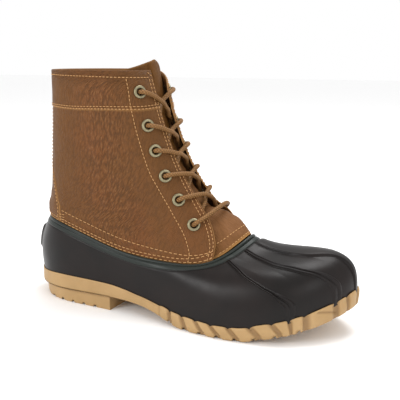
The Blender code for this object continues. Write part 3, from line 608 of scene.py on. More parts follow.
def behind_edge(height, distance):
    """Stations from the toe of the point a distance behind the lateral quarter's edge."""
    start = float(edge_at(-1, height))
    away = np.linspace(start, start + 3, 181)
    way = way_along(upper_at(TOE - away, height))
    return float(np.interp(distance, way, away))


def eyelet_places():
    """Side, number, height and stations from the toe of each eyelet, top one first."""
    for side in (-1, 1):
        for number, (height, share) in enumerate(zip(EYELETS["height"], EYELETS["setback"]), start=1):
            yield side, number, height, behind_edge(height, EYELET_SETBACK * share)


def cuff_height(station):
    """Height of the cuff's lower edge at a station."""
    return along(CUFF, "height", from_back(station), by="station")


def leather_lift(station, height):
    """How far cuff, backstay and heel puff stand out from the plain wall."""
    back = from_back(station)
    hair = 0.0022
    cuff = ease(height - cuff_height(station), -hair, hair)
    width = along(BACKSTAY, "station", height, by="height")
    stay = 1 - ease(back - width, -0.035, 0.035)
    puff = ease(height, 0.0, 0.05) * (1 - ease(height, 0.08, 0.22)) * (1 - ease(back, 0.6, 2.4))
    return np.maximum(CUFF_PROUD * cuff, BACKSTAY_PROUD * stay) + HEEL_PUFF * puff


def leather_face(station, height, out=0.0):
    """Point of the finished leather's face, moved out by out."""
    station = np.asarray(station, dtype=float)
    height = np.asarray(height, dtype=float) + 0 * station
    return upper_at(station, height, -(leather_lift(station, height) + out))


# Meshes

def grid_faces(rows, columns, start=0, closed=False):
    """Quads of a grid of points, columns running first."""
    index = start + np.arange(rows * columns).reshape(rows, columns)
    if closed:
        index = np.concatenate((index, index[:, :1]), axis=1)
    quads = np.stack((index[:-1, :-1], index[:-1, 1:], index[1:, 1:], index[1:, :-1]), axis=-1)
    return quads.reshape(-1, 4)


class Parts:
    """Collects grids and loose faces of one piece."""

    def __init__(self):
        self.points = []
        self.faces = []
        self.values = {}
        self.count = 0

    def add(self, points, faces, **values):
        """Adds points with their faces, and named values for each point."""
        points = np.asarray(points, dtype=float).reshape(-1, 3)
        self.points.append(points)
        self.faces.append(np.asarray(faces) + self.count)
        for name, value in values.items():
            filled = self.values.setdefault(name, np.zeros(self.count))
            before = np.zeros(self.count - len(filled))
            value = np.full(len(points), value) if np.ndim(value) == 0 else np.ravel(value)
            self.values[name] = np.concatenate((filled, before, value))
        self.count += len(points)

    def grid(self, points, closed=False, skip=None, flip=False, **values):
        """Adds a grid of points with quads between them, but none whose points are all in skip."""
        faces = grid_faces(*points.shape[:2], closed=closed)
        if skip is not None:
            faces = faces[~skip[faces].all(axis=1)]
        if flip:
            faces = faces[:, ::-1]
        self.add(points, faces, **values)

    def piece(self, name, material, nodes=()):
        """Makes an object of the collected parts, smooth, riding on the boot."""
        mesh = bpy.data.meshes.new(name)
        points = np.concatenate(self.points) + ORIGIN
        mesh.from_pydata(points.tolist(), [], np.concatenate(self.faces).tolist())
        for key, value in self.values.items():
            value = np.concatenate((value, np.zeros(self.count - len(value))))
            layer = mesh.attributes.new(key, "FLOAT", "POINT")
            layer.data.foreach_set("value", value.astype(np.float32))
        mesh.shade_smooth()
        mesh.update()
        mesh.materials.append(material)
        item = bpy.data.objects.new(name, mesh)
        bpy.context.scene.collection.objects.link(item)
        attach(item, "root")
        if nodes:
            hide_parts(*nodes)


def grid_normals(grid, closed=True):
    """Outward directions of a grid, rows going up, columns counter-clockwise round the boot."""
    if closed:
        round_it = np.roll(grid, -1, axis=1) - np.roll(grid, 1, axis=1)
    else:
        round_it = np.gradient(grid, axis=1)
    return unit(np.cross(round_it, np.gradient(grid, axis=0)))


def distance_to(points, line_points):
    """Distance of each point to the nearest of line_points, and that one's number."""
    tree = KDTree(len(line_points))
    for number, point in enumerate(line_points):
        tree.insert(point, number)
    tree.balance()
    found = [tree.find(point) for point in points.reshape(-1, 3)]
    near = np.array([f[2] for f in found]).reshape(points.shape[:-1])
    number = np.array([f[1] for f in found]).reshape(points.shape[:-1])
    return near, number


# Materials

class Paint:
    """Procedural material, built node by node."""

    def __init__(self, name, colour, roughness, **values):
        self.material = bpy.data.materials.new(name)
        self.material.use_nodes = True
        self.tree = self.material.node_tree
        self.shader = self.tree.nodes["Principled BSDF"]
        self.shader.inputs["Base Color"].default_value = (*colour, 1.0)
        self.shader.inputs["Roughness"].default_value = roughness
        for key, value in values.items():
            self.shader.inputs[key.replace("_", " ")].default_value = value
        self.place = self.node("ShaderNodeTexCoord").outputs["Object"]
        self.height = None

    def node(self, kind, inputs=None, **settings):
        """New node with its settings, and inputs given as values or as outputs to link."""
        node = self.tree.nodes.new(kind)
        for key, value in settings.items():
            setattr(node, key, value)
        for key, value in (inputs or {}).items():
            if isinstance(value, bpy.types.NodeSocket):
                self.tree.links.new(value, node.inputs[key])
            else:
                node.inputs[key].default_value = value
        return node

    def noise(self, scale, detail):
        """Noise of a scale in waves to the metre."""
        return self.node("ShaderNodeTexNoise", {"Vector": self.place, "Scale": scale,
                                                "Detail": detail, "Roughness": 0.55}).outputs[0]

    def cells(self, scale, place, smooth):
        """Distance to the middle of random flat cells."""
        inputs = {"Vector": place, "Scale": scale, "Smoothness": smooth}
        return self.node("ShaderNodeTexVoronoi", inputs, feature="SMOOTH_F1",
                         voronoi_dimensions="2D").outputs["Distance"]

    def map(self, value, low, high, to_low=0.0, to_high=1.0):
        """Value mapped from one range to another."""
        return self.node("ShaderNodeMapRange", {"Value": value, "From Min": low, "From Max": high,
                                                "To Min": to_low, "To Max": to_high}).outputs[0]

    def math(self, kind, one, two):
        """Sum, product and so on of two values."""
        return self.node("ShaderNodeMath", {0: one, 1: two}, operation=kind).outputs[0]

    def value(self, name):
        """Value that the mesh carries at each point."""
        return self.node("ShaderNodeAttribute", attribute_name=name).outputs["Fac"]

    def mix(self, share, one, two):
        """Colour between one and two."""
        node = self.node("ShaderNodeMix", data_type="RGBA")
        for key, value in ((0, share), (6, one), (7, two)):
            if isinstance(value, bpy.types.NodeSocket):
                self.tree.links.new(value, node.inputs[key])
            elif key == 0:
                node.inputs[key].default_value = value
            else:
                node.inputs[key].default_value = (*value, 1.0)
        return node.outputs[2]

    def colour(self, output):
        """Links the base colour."""
        self.tree.links.new(output, self.shader.inputs["Base Color"])

    def roughness(self, output):
        """Links the roughness."""
        self.tree.links.new(output, self.shader.inputs["Roughness"])

    def bump(self, height, distance, strength):
        """Adds a layer of bump, distance in metres."""
        inputs = {"Height": height, "Distance": distance, "Strength": strength}
        if self.height is not None:
            inputs["Normal"] = self.height
        self.height = self.node("ShaderNodeBump", inputs).outputs[0]
        self.tree.links.new(self.height, self.shader.inputs["Normal"])


def leather_wrinkles(paint, skin, lean):
    """Long wandering wrinkles, 1 on a crest and 0 in a valley."""
    wander = paint.node("ShaderNodeTexNoise", {"Vector": skin, "Scale": 120.0, "Detail": 2.0})
    wander = paint.node("ShaderNodeVectorMath", {0: wander.outputs["Color"], "Scale": 0.0022},
                        operation="SCALE")
    bent = paint.node("ShaderNodeVectorMath", {0: skin, 1: wander.outputs[0]}, operation="ADD")
    leaning = paint.node("ShaderNodeMapping", {"Vector": bent.outputs[0], "Rotation": (0, 0, lean)})
    stretched = {"Vector": leaning.outputs[0], "Scale": (1.0, STRETCH, 1.0)}
    place = paint.node("ShaderNodeMapping", stretched).outputs[0]
    coarse = paint.map(paint.cells(WRINKLES, place, 0.10), 0.08, 0.58, 1.0, 0.0)
    fine = paint.map(paint.cells(FINE_WRINKLES, place, 0.10), 0.08, 0.58, 1.0, 0.0)
    return paint.math("ADD", paint.math("MULTIPLY", coarse, 0.68), paint.math("MULTIPLY", fine, 0.32))


def leather_paint(name, brown, red, tan, grain, lean, gloss):
    """Oiled pebbled leather: slanted wrinkles with painted highlights on their crests and painted shade in
    their valleys, redder areas, tan cut edges.
    """
    paint = Paint(name, brown, 0.58, Specular_IOR_Level=gloss)
    flat = {0: paint.value("skin_u"), 1: paint.value("skin_v")}
    skin = paint.node("ShaderNodeCombineXYZ", flat).outputs[0]
    wrinkle = leather_wrinkles(paint, skin, lean)
    weight = paint.map(paint.value("swath"), 0.0, 1.0, 0.34 * grain, grain)
    folded = paint.math("MULTIPLY", wrinkle, weight)
    paint.bump(folded, 0.0008, 1.0)
    paint.bump(paint.math("MULTIPLY", paint.cells(PEBBLES, skin, 0.3), -1.0), 0.0005, 0.6 * grain)
    paint.bump(paint.noise(2400.0, 3.0), 0.00012, 0.5)
    patches = paint.map(paint.noise(22.0, 3.0), 0.35, 0.65, 0.35, 1.0)
    body = paint.mix(paint.math("MULTIPLY", patches, paint.value("red")), brown, red)
    dark = tuple(0.66 * c for c in brown)
    body = paint.mix(paint.map(paint.noise(48.0, 4.0), 0.42, 0.72, 0.0, 0.35), body, dark)
    # painted highlight: the wrinkles' crests lighter than the leather
    crest = tuple(1.55 * c + 0.012 for c in brown)
    body = paint.mix(paint.map(folded, 0.52, 0.86, 0.0, 0.75), body, crest)
    # painted shade: the wrinkles' valleys darker than the leather
    valley_shade = paint.math("MULTIPLY", paint.map(wrinkle, 0.40, 0.05, 0.0, 0.60), weight)
    body = paint.mix(valley_shade, body, tuple(0.45 * c for c in brown))
    body = paint.mix(paint.value("edge"), body, tan)
    paint.colour(body)
    paint.roughness(paint.map(paint.noise(140.0, 3.0), 0.3, 0.7, 0.50, 0.66))
    return paint.material


def rubber_paint():
    """Satin dark brown rubber with a greener rim."""
    paint = Paint("rubber_satin", (0.008, 0.006, 0.006), 0.36, Specular_IOR_Level=0.20)
    cloud = paint.map(paint.noise(26.0, 3.0), 0.35, 0.7)
    tint = paint.mix(cloud, (0.006, 0.0045, 0.004), (0.011, 0.007, 0.006))
    tint = paint.mix(paint.value("rim"), tint, (0.018, 0.022, 0.019))
    paint.colour(tint)
    paint.roughness(paint.map(paint.noise(70.0, 4.0), 0.3, 0.7, 0.32, 0.42))
    paint.bump(paint.noise(1800.0, 3.0), 0.00005, 0.5)
    paint.bump(paint.noise(60.0, 2.0), 0.0005, 0.12)
    return paint.material


def gum_paint():
    """Gum rubber, with painted shade in the gaps, grooves and creases and underneath."""
    paint = Paint("gum_rubber", (0.50, 0.32, 0.15), 0.52, Specular_IOR_Level=0.35,
                  Subsurface_Weight=0.05, Subsurface_Scale=0.004)
    paint.shader.inputs["Subsurface Radius"].default_value = (1.0, 0.5, 0.25)
    cloud = paint.map(paint.noise(34.0, 4.0), 0.3, 0.72)
    tint = paint.mix(cloud, (0.43, 0.272, 0.120), (0.35, 0.215, 0.088))
    # painted shade: darker where the gap value is high, in block gaps, crease, tread grooves, heel front
    # and underside
    tint = paint.mix(paint.value("gap"), tint, (0.20, 0.110, 0.042))
    paint.colour(tint)
    paint.roughness(paint.map(paint.noise(90.0, 3.0), 0.3, 0.7, 0.46, 0.60))
    paint.bump(paint.noise(1400.0, 3.0), 0.00008, 0.5)
    return paint.material


def brass_paint():
    """Antique brass with darker spots."""
    paint = Paint("antique_brass", (0.30, 0.27, 0.17), 0.38, Metallic=0.85)
    spots = paint.map(paint.noise(700.0, 3.0), 0.45, 0.75)
    paint.colour(paint.mix(spots, (0.27, 0.24, 0.150), (0.18, 0.15, 0.08)))
    paint.bump(paint.noise(1600.0, 2.0), 0.00004, 0.5)
    return paint.material


def lace_paint():
    """Braided waxed cord: painted highlights on the strands' crests, painted shade between the strands."""
    paint = Paint("lace_cord", (0.26, 0.13, 0.045), 0.62, Specular_IOR_Level=0.25)
    crest = paint.value("crest")
    # painted shade between the strands, blending to a painted highlight on their crests
    body = paint.mix(crest, (0.09, 0.040, 0.012), (0.36, 0.185, 0.060))
    body = paint.mix(paint.map(paint.noise(500.0, 2.0), 0.4, 0.7, 0.0, 0.35), body, (0.24, 0.110, 0.034))
    paint.colour(body)
    paint.bump(paint.noise(3500.0, 2.0), 0.00012, 0.6)
    return paint.material


def thread_paint():
    """Tan sewing thread."""
    paint = Paint("thread_tan", (0.46, 0.25, 0.10), 0.6, Specular_IOR_Level=0.25)
    paint.bump(paint.noise(4000.0, 2.0), 0.0001, 0.5)
    return paint.material


def cloth_paint(name, colour, dark, scale):
    """Matt lining or felt."""
    paint = Paint(name, colour, 0.92, Specular_IOR_Level=0.2)
    paint.colour(paint.mix(paint.map(paint.noise(scale / 12, 4.0), 0.35, 0.7), colour, dark))
    paint.bump(paint.noise(scale, 4.0), 0.0003, 0.6)
    return paint.material


# Leather

def leather_columns(heights):
    """Stations of the upper's columns for each height, from the medial to the lateral front edge."""
    start = TOE + edge_at(1, heights)
    end = STATIONS + TOE - edge_at(-1, heights)
    dense = start[:, None] + (end - start)[:, None] * np.linspace(0, 1, 420)
    way = way_along(upper_wall(dense, heights[:, None] + 0 * dense))
    fine = np.array(COLUMNS_AT_EDGE)
    middle = np.linspace(0, 1, 400)[1:-1]
    stations, distance = [], []
    for row_way, row in zip(way, dense):
        total = row_way[-1]
        place = np.concatenate((fine, fine[-1] + (total - 2 * fine[-1]) * middle, total - fine[::-1]))
        stations.append(np.interp(place, row_way, row))
        distance.append(np.minimum(place, total - place))
    return np.array(stations), np.array(distance)


def crease_lines():
    """Points along every crease with its depth and half width."""
    t = np.linspace(0, 1, 90)
    for row in rows_of(CREASES):
        back = row["from_back"] * (1 - t) + row["to_back"] * t + row["bow"] * np.sin(np.pi * t)
        wander = 0.03 * np.sin(9 * t + 5 * row["from_back"])
        height = row["from_height"] * (1 - t) + row["to_height"] * t
        depth = row["depth"] * np.sin(np.pi * np.clip(t, 0.02, 0.98)) ** 0.7
        yield upper_at(STATIONS - row["side"] * (back + wander), height), depth, row["half_width"]


def trough(near, depth, size, ridge):
    """Soft trough of a crease with a ridge on both sides, at a distance near from its line."""
    return depth * (bell(near, size * 0.6) - ridge * bell(near - 1.5 * size, size * 0.7))


def rounded(distance, radius):
    """How far a face sinks at a distance from its edge, which is rounded with a radius."""
    share = np.clip(distance / radius, 0, 1)
    return radius * (1 - np.sqrt(1 - (1 - share) ** 2))


def front_station(side, away):
    """Station, in an array, of a place on a side counted in stations from the toe."""
    return np.array([TOE + side * away + (STATIONS if side < 0 else 0)])


def eyelet_gaps(points, face_at):
    """Distances of the points to each eyelet's middle, which lies on the face that face_at gives."""
    for side, _, height, away in eyelet_places():
        middle = face_at(front_station(side, away), height)[0]
        yield np.linalg.norm(points - middle, axis=-1)


def eyelet_holes(points, face_at, room):
    """Flat list of the points that lie in an eyelet's hole, which leaves room round the barrel."""
    inside = [gap < EYELET_BARREL / 2 + room for gap in eyelet_gaps(points, face_at)]
    return np.any(inside, axis=0).ravel()


def leather_back(station, height):
    """Point of the leather's plain inner face."""
    return upper_at(station, height, LEATHER)


def leather_move(face, level, distance, stitch_points):
    """How far the face moves outwards: creases, seams, ripple, eyelets and rolled edges."""
    move = np.zeros(level.shape)
    for line, depth, width in crease_lines():
        near, number = distance_to(face, line)
        move -= trough(near, depth[number], width, 0.55)
    near, _ = distance_to(face, stitch_points)
    move -= SEAM_SINK * bell(near, SEAM_SINK_WIDTH)
    move += RIPPLE * ripple(face, RIPPLE_WAVE, 3) * ease(distance, 0.0, RIPPLE_START)
    for gap in eyelet_gaps(face, leather_face):
        move -= EYELET_PRESS * (1 - ease(gap, *EYELET_PRESS_SPAN))
    for gap in (distance, (1 - level) / height_share(1.0)):
        move -= rounded(gap, EDGE_ROLL)
    return move - FOOT_SINK * (1 - ease(level, 0.0, height_share(FOOT_SINK_SPAN)))


def area_share(area, back, level):
    """How far a place lies in an area of the leather, from 0 to 1."""
    return bell(back - (area["middle"] + area["move"] * level), area["width"])


def leather_values(stations, level, distance):
    """Values for the paint at each point: folded and redder areas, cut edges, place on the skin."""
    back = from_back(stations)
    swath = area_share(FOLDED, back, level) * (1 - 0.75 * ease(level, 0.93, 1.0))
    swath *= 1 - 0.5 * (1 - ease(level, 0.0, 0.12))
    red = np.maximum(area_share(REDDER, back, level),
                     0.9 * ease(back, 4.2, 6.0) * (1 - ease(level, 0.2, 0.6)))
    edge = np.maximum(0.8 * (1 - ease(distance, 0.0003, 0.0012)), 0.8 * (1 - ease(level, 0.0, 0.008)))
    edge = np.maximum(edge, 0.6 * bell(level - cuff_height(stations), 0.004))
    stay_edge = along(BACKSTAY, "station", level, by="height")
    edge = np.maximum(edge, 0.9 * bell(back - stay_edge, 0.022) * (1 - ease(level, 0.30, 0.40)))
    return {"swath": swath, "red": red, "edge": edge,
            "skin_u": way_along(upper_wall(stations, level)), "skin_v": level / height_share(1.0)}


def turn_in_edges(parts, face, stations, heights):
    """Adds the leather's turned-in front edges and collar."""
    for first, step in ((0, 1), (-1, -1)):
        lines = [face[:, first]]
        for depth, columns in zip(TURN_IN["depth"], TURN_IN["columns"]):
            lines.append(upper_at(stations[:, first + step * columns], heights, depth))
        parts.grid(np.stack(lines, axis=1), flip=step > 0, edge=0.3, red=0.2)
    lines = [face[-1]]
    for depth, down in zip(TURN_IN["depth"], TURN_IN["down"]):
        level = np.full(stations.shape[1], 1 - height_share(down))
        lines.append(upper_at(stations[-1], level, depth))
    parts.grid(np.array(lines), edge=0.25, red=0.2)


def make_upper(paint, stitch_points):
    """Leather quarters and shaft with rolled edges, creases, stitch troughs and eyelet holes."""
    top = 1 - height_share(np.array(ROWS_AT_COLLAR))[::-1]
    heights = np.concatenate((np.linspace(0.0, top[0], 190)[:-1], top))
    stations, distance = leather_columns(heights)
    level = np.repeat(heights[:, None], stations.shape[1], axis=1)
    face = leather_face(stations, level)
    move = leather_move(face, level, distance, stitch_points)
    face = face + upper_normal(stations, level) * move[..., None]
    parts = Parts()
    parts.grid(face, skip=eyelet_holes(face, leather_face, HOLE_ROOM),
               **leather_values(stations, level, distance))
    under = upper_at(stations[:1], level[:1], FOOT_TURN) + np.array([0, 0, -FOOT_TURN])
    parts.grid(np.concatenate((under, face[:1])))
    turn_in_edges(parts, face, stations, heights)
    parts.piece("upper_leather", paint, ["upper"])


def make_lining(paint):
    """Flesh side of the leather, a little inside the solid's own inner face."""
    heights = np.linspace(0.03, 1 - height_share(0.0045), 70)
    low = TOE + edge_at(1, heights) + LINING_START
    high = STATIONS + TOE - edge_at(-1, heights) - LINING_START
    share = np.linspace(0, 1, 160)
    stations = low[:, None] + (high - low)[:, None] * share
    level = np.repeat(heights[:, None], len(share), axis=1)
    inside = upper_at(stations, level, LEATHER + LINING_GAP)
    inside += grid_normals(inside, closed=False) * (LINING_GAP * ripple(inside, 0.018, 8))[..., None]
    parts = Parts()
    parts.grid(inside, skip=eyelet_holes(inside, leather_back, LINING_HOLE_ROOM), flip=True)
    parts.piece("upper_lining", paint)


# Stitches

def stitch_grid(line, out, pitch):
    """Small bent capsules along a line of points, out being the directions away from the leather."""
    way = way_along(line)
    count = max(1, int(round(way[-1] / pitch)))
    places = (np.arange(count) + 0.5) * way[-1] / count
    size = STITCH_SHARE * (way[-1] / count)
    spots = places[:, None] + np.array(STITCH["place"]) * size
    lift = np.array(STITCH["lift"]) * THREAD
    radius = np.array(STITCH["radius"]) * THREAD
    axis = points_at(spots, way, line)
    up = unit(points_at(spots, way, out))
    side = unit(np.cross(unit(axis[:, -1:] - axis[:, :1]), up))
    axis = axis + up * lift[:, None]
    turn = np.arange(STITCH_SIDES) * 2 * np.pi / STITCH_SIDES
    ring_points = np.cos(turn)[:, None] * side[:, :, None] + np.sin(turn)[:, None] * up[:, :, None]
    return axis[:, :, None] + ring_points * radius[:, None, None]


def seam_on_upper(station, height):
    """Line on the finished leather with its outward directions."""
    station = np.asarray(station, dtype=float)
    height = np.asarray(height, dtype=float) + 0 * station
    return leather_face(station, height), upper_normal(station, height)


def at_side(side, back):
    """Station of the upper from stations from the heel's back, side -1 lateral, 1 medial."""
    return STATIONS - side * np.asarray(back)


def front_seam(side, distance):
    """Line a distance behind a quarter's front edge."""
    heights = np.linspace(0.004, 0.964, 90)
    stations = []
    for height in heights:
        start = float(edge_at(side, height))
        away = np.linspace(start, start + 1.2, 60)
        way = way_along(upper_at(TOE + side * away, height))
        stations.append(TOE + side * float(np.interp(distance, way, away)))
    return seam_on_upper(np.array(stations) + (STATIONS if side < 0 else 0), heights)


def collar_seams():
    """Row under the collar, with a short row up to each front corner."""
    whole = np.linspace(TOE + 2.30, STATIONS + TOE - 0.92, 400)
    seams = [seam_on_upper(whole, COLLAR_SEAM)]
    for side in (-1, 1):
        corner = TOE - (float(edge_at(side, 0.985)) + 0.10)
        back = np.linspace(corner - 0.28, corner, 12)
        seams.append(seam_on_upper(at_side(side, back), np.linspace(0.990, 0.972, 12)))
    return seams


def cuff_seams():
    """Two rows along the cuff's lower edge."""
    whole = np.linspace(TOE + 0.86, STATIONS + TOE - 0.70, 500)
    return [seam_on_upper(whole, cuff_height(whole) + rise) for rise in CUFF_SEAMS]


def eyestay_seam(side):
    """Row behind the eyelets of a side."""
    heights = np.linspace(0.004, 0.966, 200)
    return seam_on_upper(at_side(side, along(EYESTAY, "station", heights, by="height")), heights)


def rim_seams(side):
    """Three rows along the rim of a side, the upper one given by a table."""
    end = TOE - float(edge_at(side, 0.036)) - 0.05
    back = np.linspace(RIM_SEAM_START, end, 200)
    seams = [seam_on_upper(at_side(side, back), along(RIM_ROW, "height", back, by="station"))]
    end = TOE - float(edge_at(side, 0.01)) - 0.02
    back = np.linspace(RIM_SEAM_START, end, 220)
    seams += [seam_on_upper(at_side(side, back), height_share(rise)) for rise in RIM_SEAMS]
    return seams


def backstay_seams(side):
    """Row along a side of the backstay, and three short rows that end it at the rim."""
    heights = np.linspace(0.006, cuff_height(0.0) - 0.01, 180)
    back = along(BACKSTAY, "station", heights, by="height") - 0.06
    seams = [seam_on_upper(at_side(side, back), heights)]
    foot = np.linspace(1.98, 2.20, 8)
    for height in STAY_FOOT_SEAMS:
        seams.append(seam_on_upper(at_side(side, foot), height + (foot - 1.98) * 0.06))
    return seams


def upper_seams():
    """Every stitched line of the upper by name."""
    seams = {"collar": collar_seams(), "cuff": cuff_seams(), "eyestay": [], "front": [], "rim": [],
             "backstay": []}
    for side in (-1, 1):
        seams["eyestay"].append(eyestay_seam(side))
        seams["front"] += [front_seam(side, distance) for distance in FRONT_SEAMS]
        seams["rim"] += rim_seams(side)
        seams["backstay"] += backstay_seams(side)
    heel = STATIONS + np.linspace(-1.95, 1.95, 160)
    seams["rim"] += [seam_on_upper(heel, height_share(rise)) for rise in HEEL_RIM_SEAMS]
    return seams


def make_stitches(name, seams, paint, pitch=STITCH_PITCH):
    """One piece for all the stitches of a group of seams."""
    parts = Parts()
    for line, out in seams:
        for points in stitch_grid(line - out * STITCH_SINK, out, pitch):
            parts.grid(points, closed=True)
    parts.piece("stitches_" + name, paint)


# Tongue

def tongue_half(height):
    """Half width of the tongue in stations at a height."""
    return along(TONGUE_EDGE, "station", height, by="height")


def tongue_level(across, height):
    """Height of the tongue's surface, raised to a peak on the medial side."""
    rise = TONGUE_RISE / (COLLAR_HEIGHT * 3 * (1 - RINGS["high"]["z"][8]))
    away = abs(across - TONGUE_PEAK) / (1 - TONGUE_PEAK * np.sign(across - TONGUE_PEAK))
    return height * (1 + rise * (1 - away ** 1.2) * ease(height, 0.5, 1.0))


def tongue_inset(station, height):
    """How deep the tongue's outer face lies under the upper's outer face."""
    edge = edge_at(-1, height)
    away = abs(station - TOE)
    sink = TONGUE_SINK * ease(height, 0.07, 0.30) * (1 - ease(away, 1.5, 2.7) * 0.9)
    sink *= 1 - 0.9 * ease(height, 0.7, 1.0)
    open_part = 1 - ease(away, edge * 0.5, edge * 0.8)
    cover = (LEATHER + NEST) * (1 - 0.75 * open_part * (1 - ease(height, 0.03, 0.25)))
    return cover + sink - TONGUE_BULGE * open_part * ease(height, 0.80, 0.95)


def tongue_places():
    """Place across, from -1 to 1, and height of each of the tongue's points."""
    fine = np.array([0.0, 0.004, 0.010, 0.018])
    across = np.concatenate((fine, np.linspace(0.03, 1.97, 170), 2 - fine[::-1])) - 1
    top = [0.983, 0.989, 0.994, 0.998, 1.0]
    return np.meshgrid(across, np.concatenate((np.linspace(height_share(NEST), 0.975, 150), top)))


def tongue_move(face, edge):
    """How far the tongue's face moves outwards for its creases, ripple and rolled edges."""
    move = np.zeros(face.shape[:-1])
    t = np.linspace(0, 1, 60)
    for row in rows_of(TONGUE_CREASES):
        place = row["from_across"] * (1 - t) + row["to_across"] * t
        height = row["height"] + row["slope"] * t + 0.006 * np.sin(8 * t + 20 * row["height"])
        station = TOE + place * tongue_half(height)
        near, number = distance_to(face, upper_at(station, height, tongue_inset(station, height)))
        depth = row["depth"] * np.sin(np.pi * np.clip(t, 0.02, 0.98))[number]
        move -= trough(near, depth, row["half_width"], 0.60)
    move += TONGUE_RIPPLE * ripple(face, 0.016, 5)
    return move - rounded(edge, TONGUE_EDGE_ROLL)


def make_tongue(paint, lace_points):
    """Tongue and apron as one walled sheet, pressed in a little where the laces lie on it."""
    across, heights = tongue_places()
    half = tongue_half(heights)
    stations = TOE + across * half
    level = tongue_level(across, heights)
    face = upper_at(stations, level, tongue_inset(stations, heights))
    normal = upper_normal(stations, level)
    edge = np.minimum((1 - abs(across)) * half * TONGUE_STATION, (1 - heights) / height_share(1.0))
    move = tongue_move(face, edge)
    near, _ = distance_to(face, lace_points)
    press = np.clip(LACE / 2 + LACE_GAP - near, 0, None) + LACE_PRESS * bell(near - LACE / 2, 0.0025)
    move = (move - press) * np.maximum(ease(edge, 0.0, 0.002), 0.3)
    face = face + normal * move[..., None]
    inner = face - normal * LEATHER * np.clip(0.25 + edge / 0.0012, 0.25, 1)[..., None]
    tan = np.maximum(0.3 * (1 - ease(edge, 0.0002, 0.0012)), 0.9 * (1 - ease(heights, 0.008, 0.020)))
    parts = Parts()
    parts.grid(face, swath=0.35 + 0.3 * bell(level - 0.35, 0.2), red=1 - 0.9 * ease(level, 0.25, 0.60),
               edge=tan, skin_u=across * half * SKIN_STATION, skin_v=level / height_share(1.0))
    parts.grid(inner, flip=True, swath=0.1, red=0.1, edge=0.25)
    for lines in ((inner[0], face[0]), (face[-1], inner[-1]),
                  (face[:, 0], inner[:, 0]), (inner[:, -1], face[:, -1])):
        parts.grid(np.stack(lines), edge=0.8)
    parts.piece("tongue_leather", paint, ["tongue"])


def tongue_seams():
    """Stitched rows across the foot of the apron."""
    place = np.linspace(-0.78, 0.78, 160)
    seams = []
    for foot, bend in TONGUE_SEAMS:
        height = foot + bend * abs(place)
        station = TOE + place * tongue_half(height)
        level = tongue_level(place, height)
        line = upper_at(station, level, tongue_inset(station, height))
        seams.append((line, upper_normal(station, level)))
    return seams


# Lace

def lace_spot(side, height, distance, inset):
    """Point at a distance behind a quarter's front edge, at a depth under the leather's face."""
    away = behind_edge(height, distance)
    return upper_at(np.array([TOE + side * away]), np.array([height]), np.array([inset]))[0]


def gap_spot(side, share, height, inset):
    """Point over the tongue, at a share of the way from its middle to a quarter's edge."""
    edge = float(edge_at(-1, height))
    return upper_at(np.array([TOE + side * share * edge]), np.array([height]), np.array([inset]))[0]


def lace_leg(number, side, cross):
    """Way of the lace from inside one eyelet, out over its edge, to inside the next one across."""
    high, low = EYELETS["height"][number - 1], EYELETS["height"][number]
    back = EYELET_SETBACK * EYELETS["setback"][number - 1]
    far = EYELET_SETBACK * EYELETS["setback"][number]
    fall = high - low
    drop = EYELETS["drop"][number - 1] if side < 0 else 0.08
    cuff = CUFF_PROUD if number == 1 else 0.0
    return [
        lace_spot(side, high, back + 0.0004, 0.0020),
        lace_spot(side, high, back - 0.0008, -0.0010 - cuff),
        lace_spot(side, high - 0.14 * drop * fall, back - 0.0040, -0.0031 - cuff),
        lace_spot(side, high - 0.50 * drop * fall, back * 0.42, -0.0026 - cuff),
        lace_spot(side, high - drop * fall, 0.0006, -0.0021),
        gap_spot(side, 0.45, high - (0.75 * drop + 0.16) * fall, cross - 0.0016),
        gap_spot(side, 0.0, high - (0.50 * drop + 0.32) * fall, cross),
        gap_spot(-side, 0.55, high - (0.25 * drop + 0.50) * fall, cross + (0.0036 - cross) * 0.45),
        lace_spot(-side, high - 0.70 * fall, 0.0006, 0.0046),
        lace_spot(-side, high - 0.86 * fall, far * 0.55, 0.0050),
        lace_spot(-side, low, far - 0.0022, 0.0047),
    ]


def lace_control():
    """Chosen points of the whole lace, from its hidden end at the top lateral eyelet to the medial one."""
    over = 0.0006
    under = 0.0046
    first, second = [], []
    for number in range(1, 6):
        side = -1 if number % 2 else 1
        first += lace_leg(number, side, over if side < 0 else under)
        second += lace_leg(number, -side, over if side > 0 else under)
    last = EYELETS["height"][-1]
    back = EYELET_SETBACK * EYELETS["setback"][-1]
    bar = []
    for side in (1, -1):
        half = [lace_spot(side, last, back + 0.0004, 0.0020), lace_spot(side, last, back - 0.0008, -0.0010),
                lace_spot(side, last, back - 0.0040, -0.0031), lace_spot(side, last, 0.0040, -0.0025),
                gap_spot(side, 0.75, last, -0.0022)]
        bar.append(half if side > 0 else half[::-1])
    middle = [gap_spot(1, 0.0, last, -0.0018)]
    return first + bar[0] + middle + bar[1] + second[::-1]


def smooth_line(points, step):
    """Even points along the smooth curve through the chosen ones."""
    points = np.array(points)
    padded = np.vstack((2 * points[0] - points[1], points, 2 * points[-1] - points[-2]))
    line = []
    for k in range(len(points) - 1):
        a, b, c, d = padded[k:k + 4]
        t = np.linspace(0, 1, 24, endpoint=False)[:, None]
        line.append(0.5 * (2 * b + (c - a) * t + (2 * a - 5 * b + 4 * c - d) * t ** 2
                           + (3 * b - 3 * c + d - a) * t ** 3))
    line = np.vstack(line + [points[-1:]])
    way = way_along(line)
    even = np.linspace(0, way[-1], int(way[-1] / step))
    return points_at(even, way, line), even


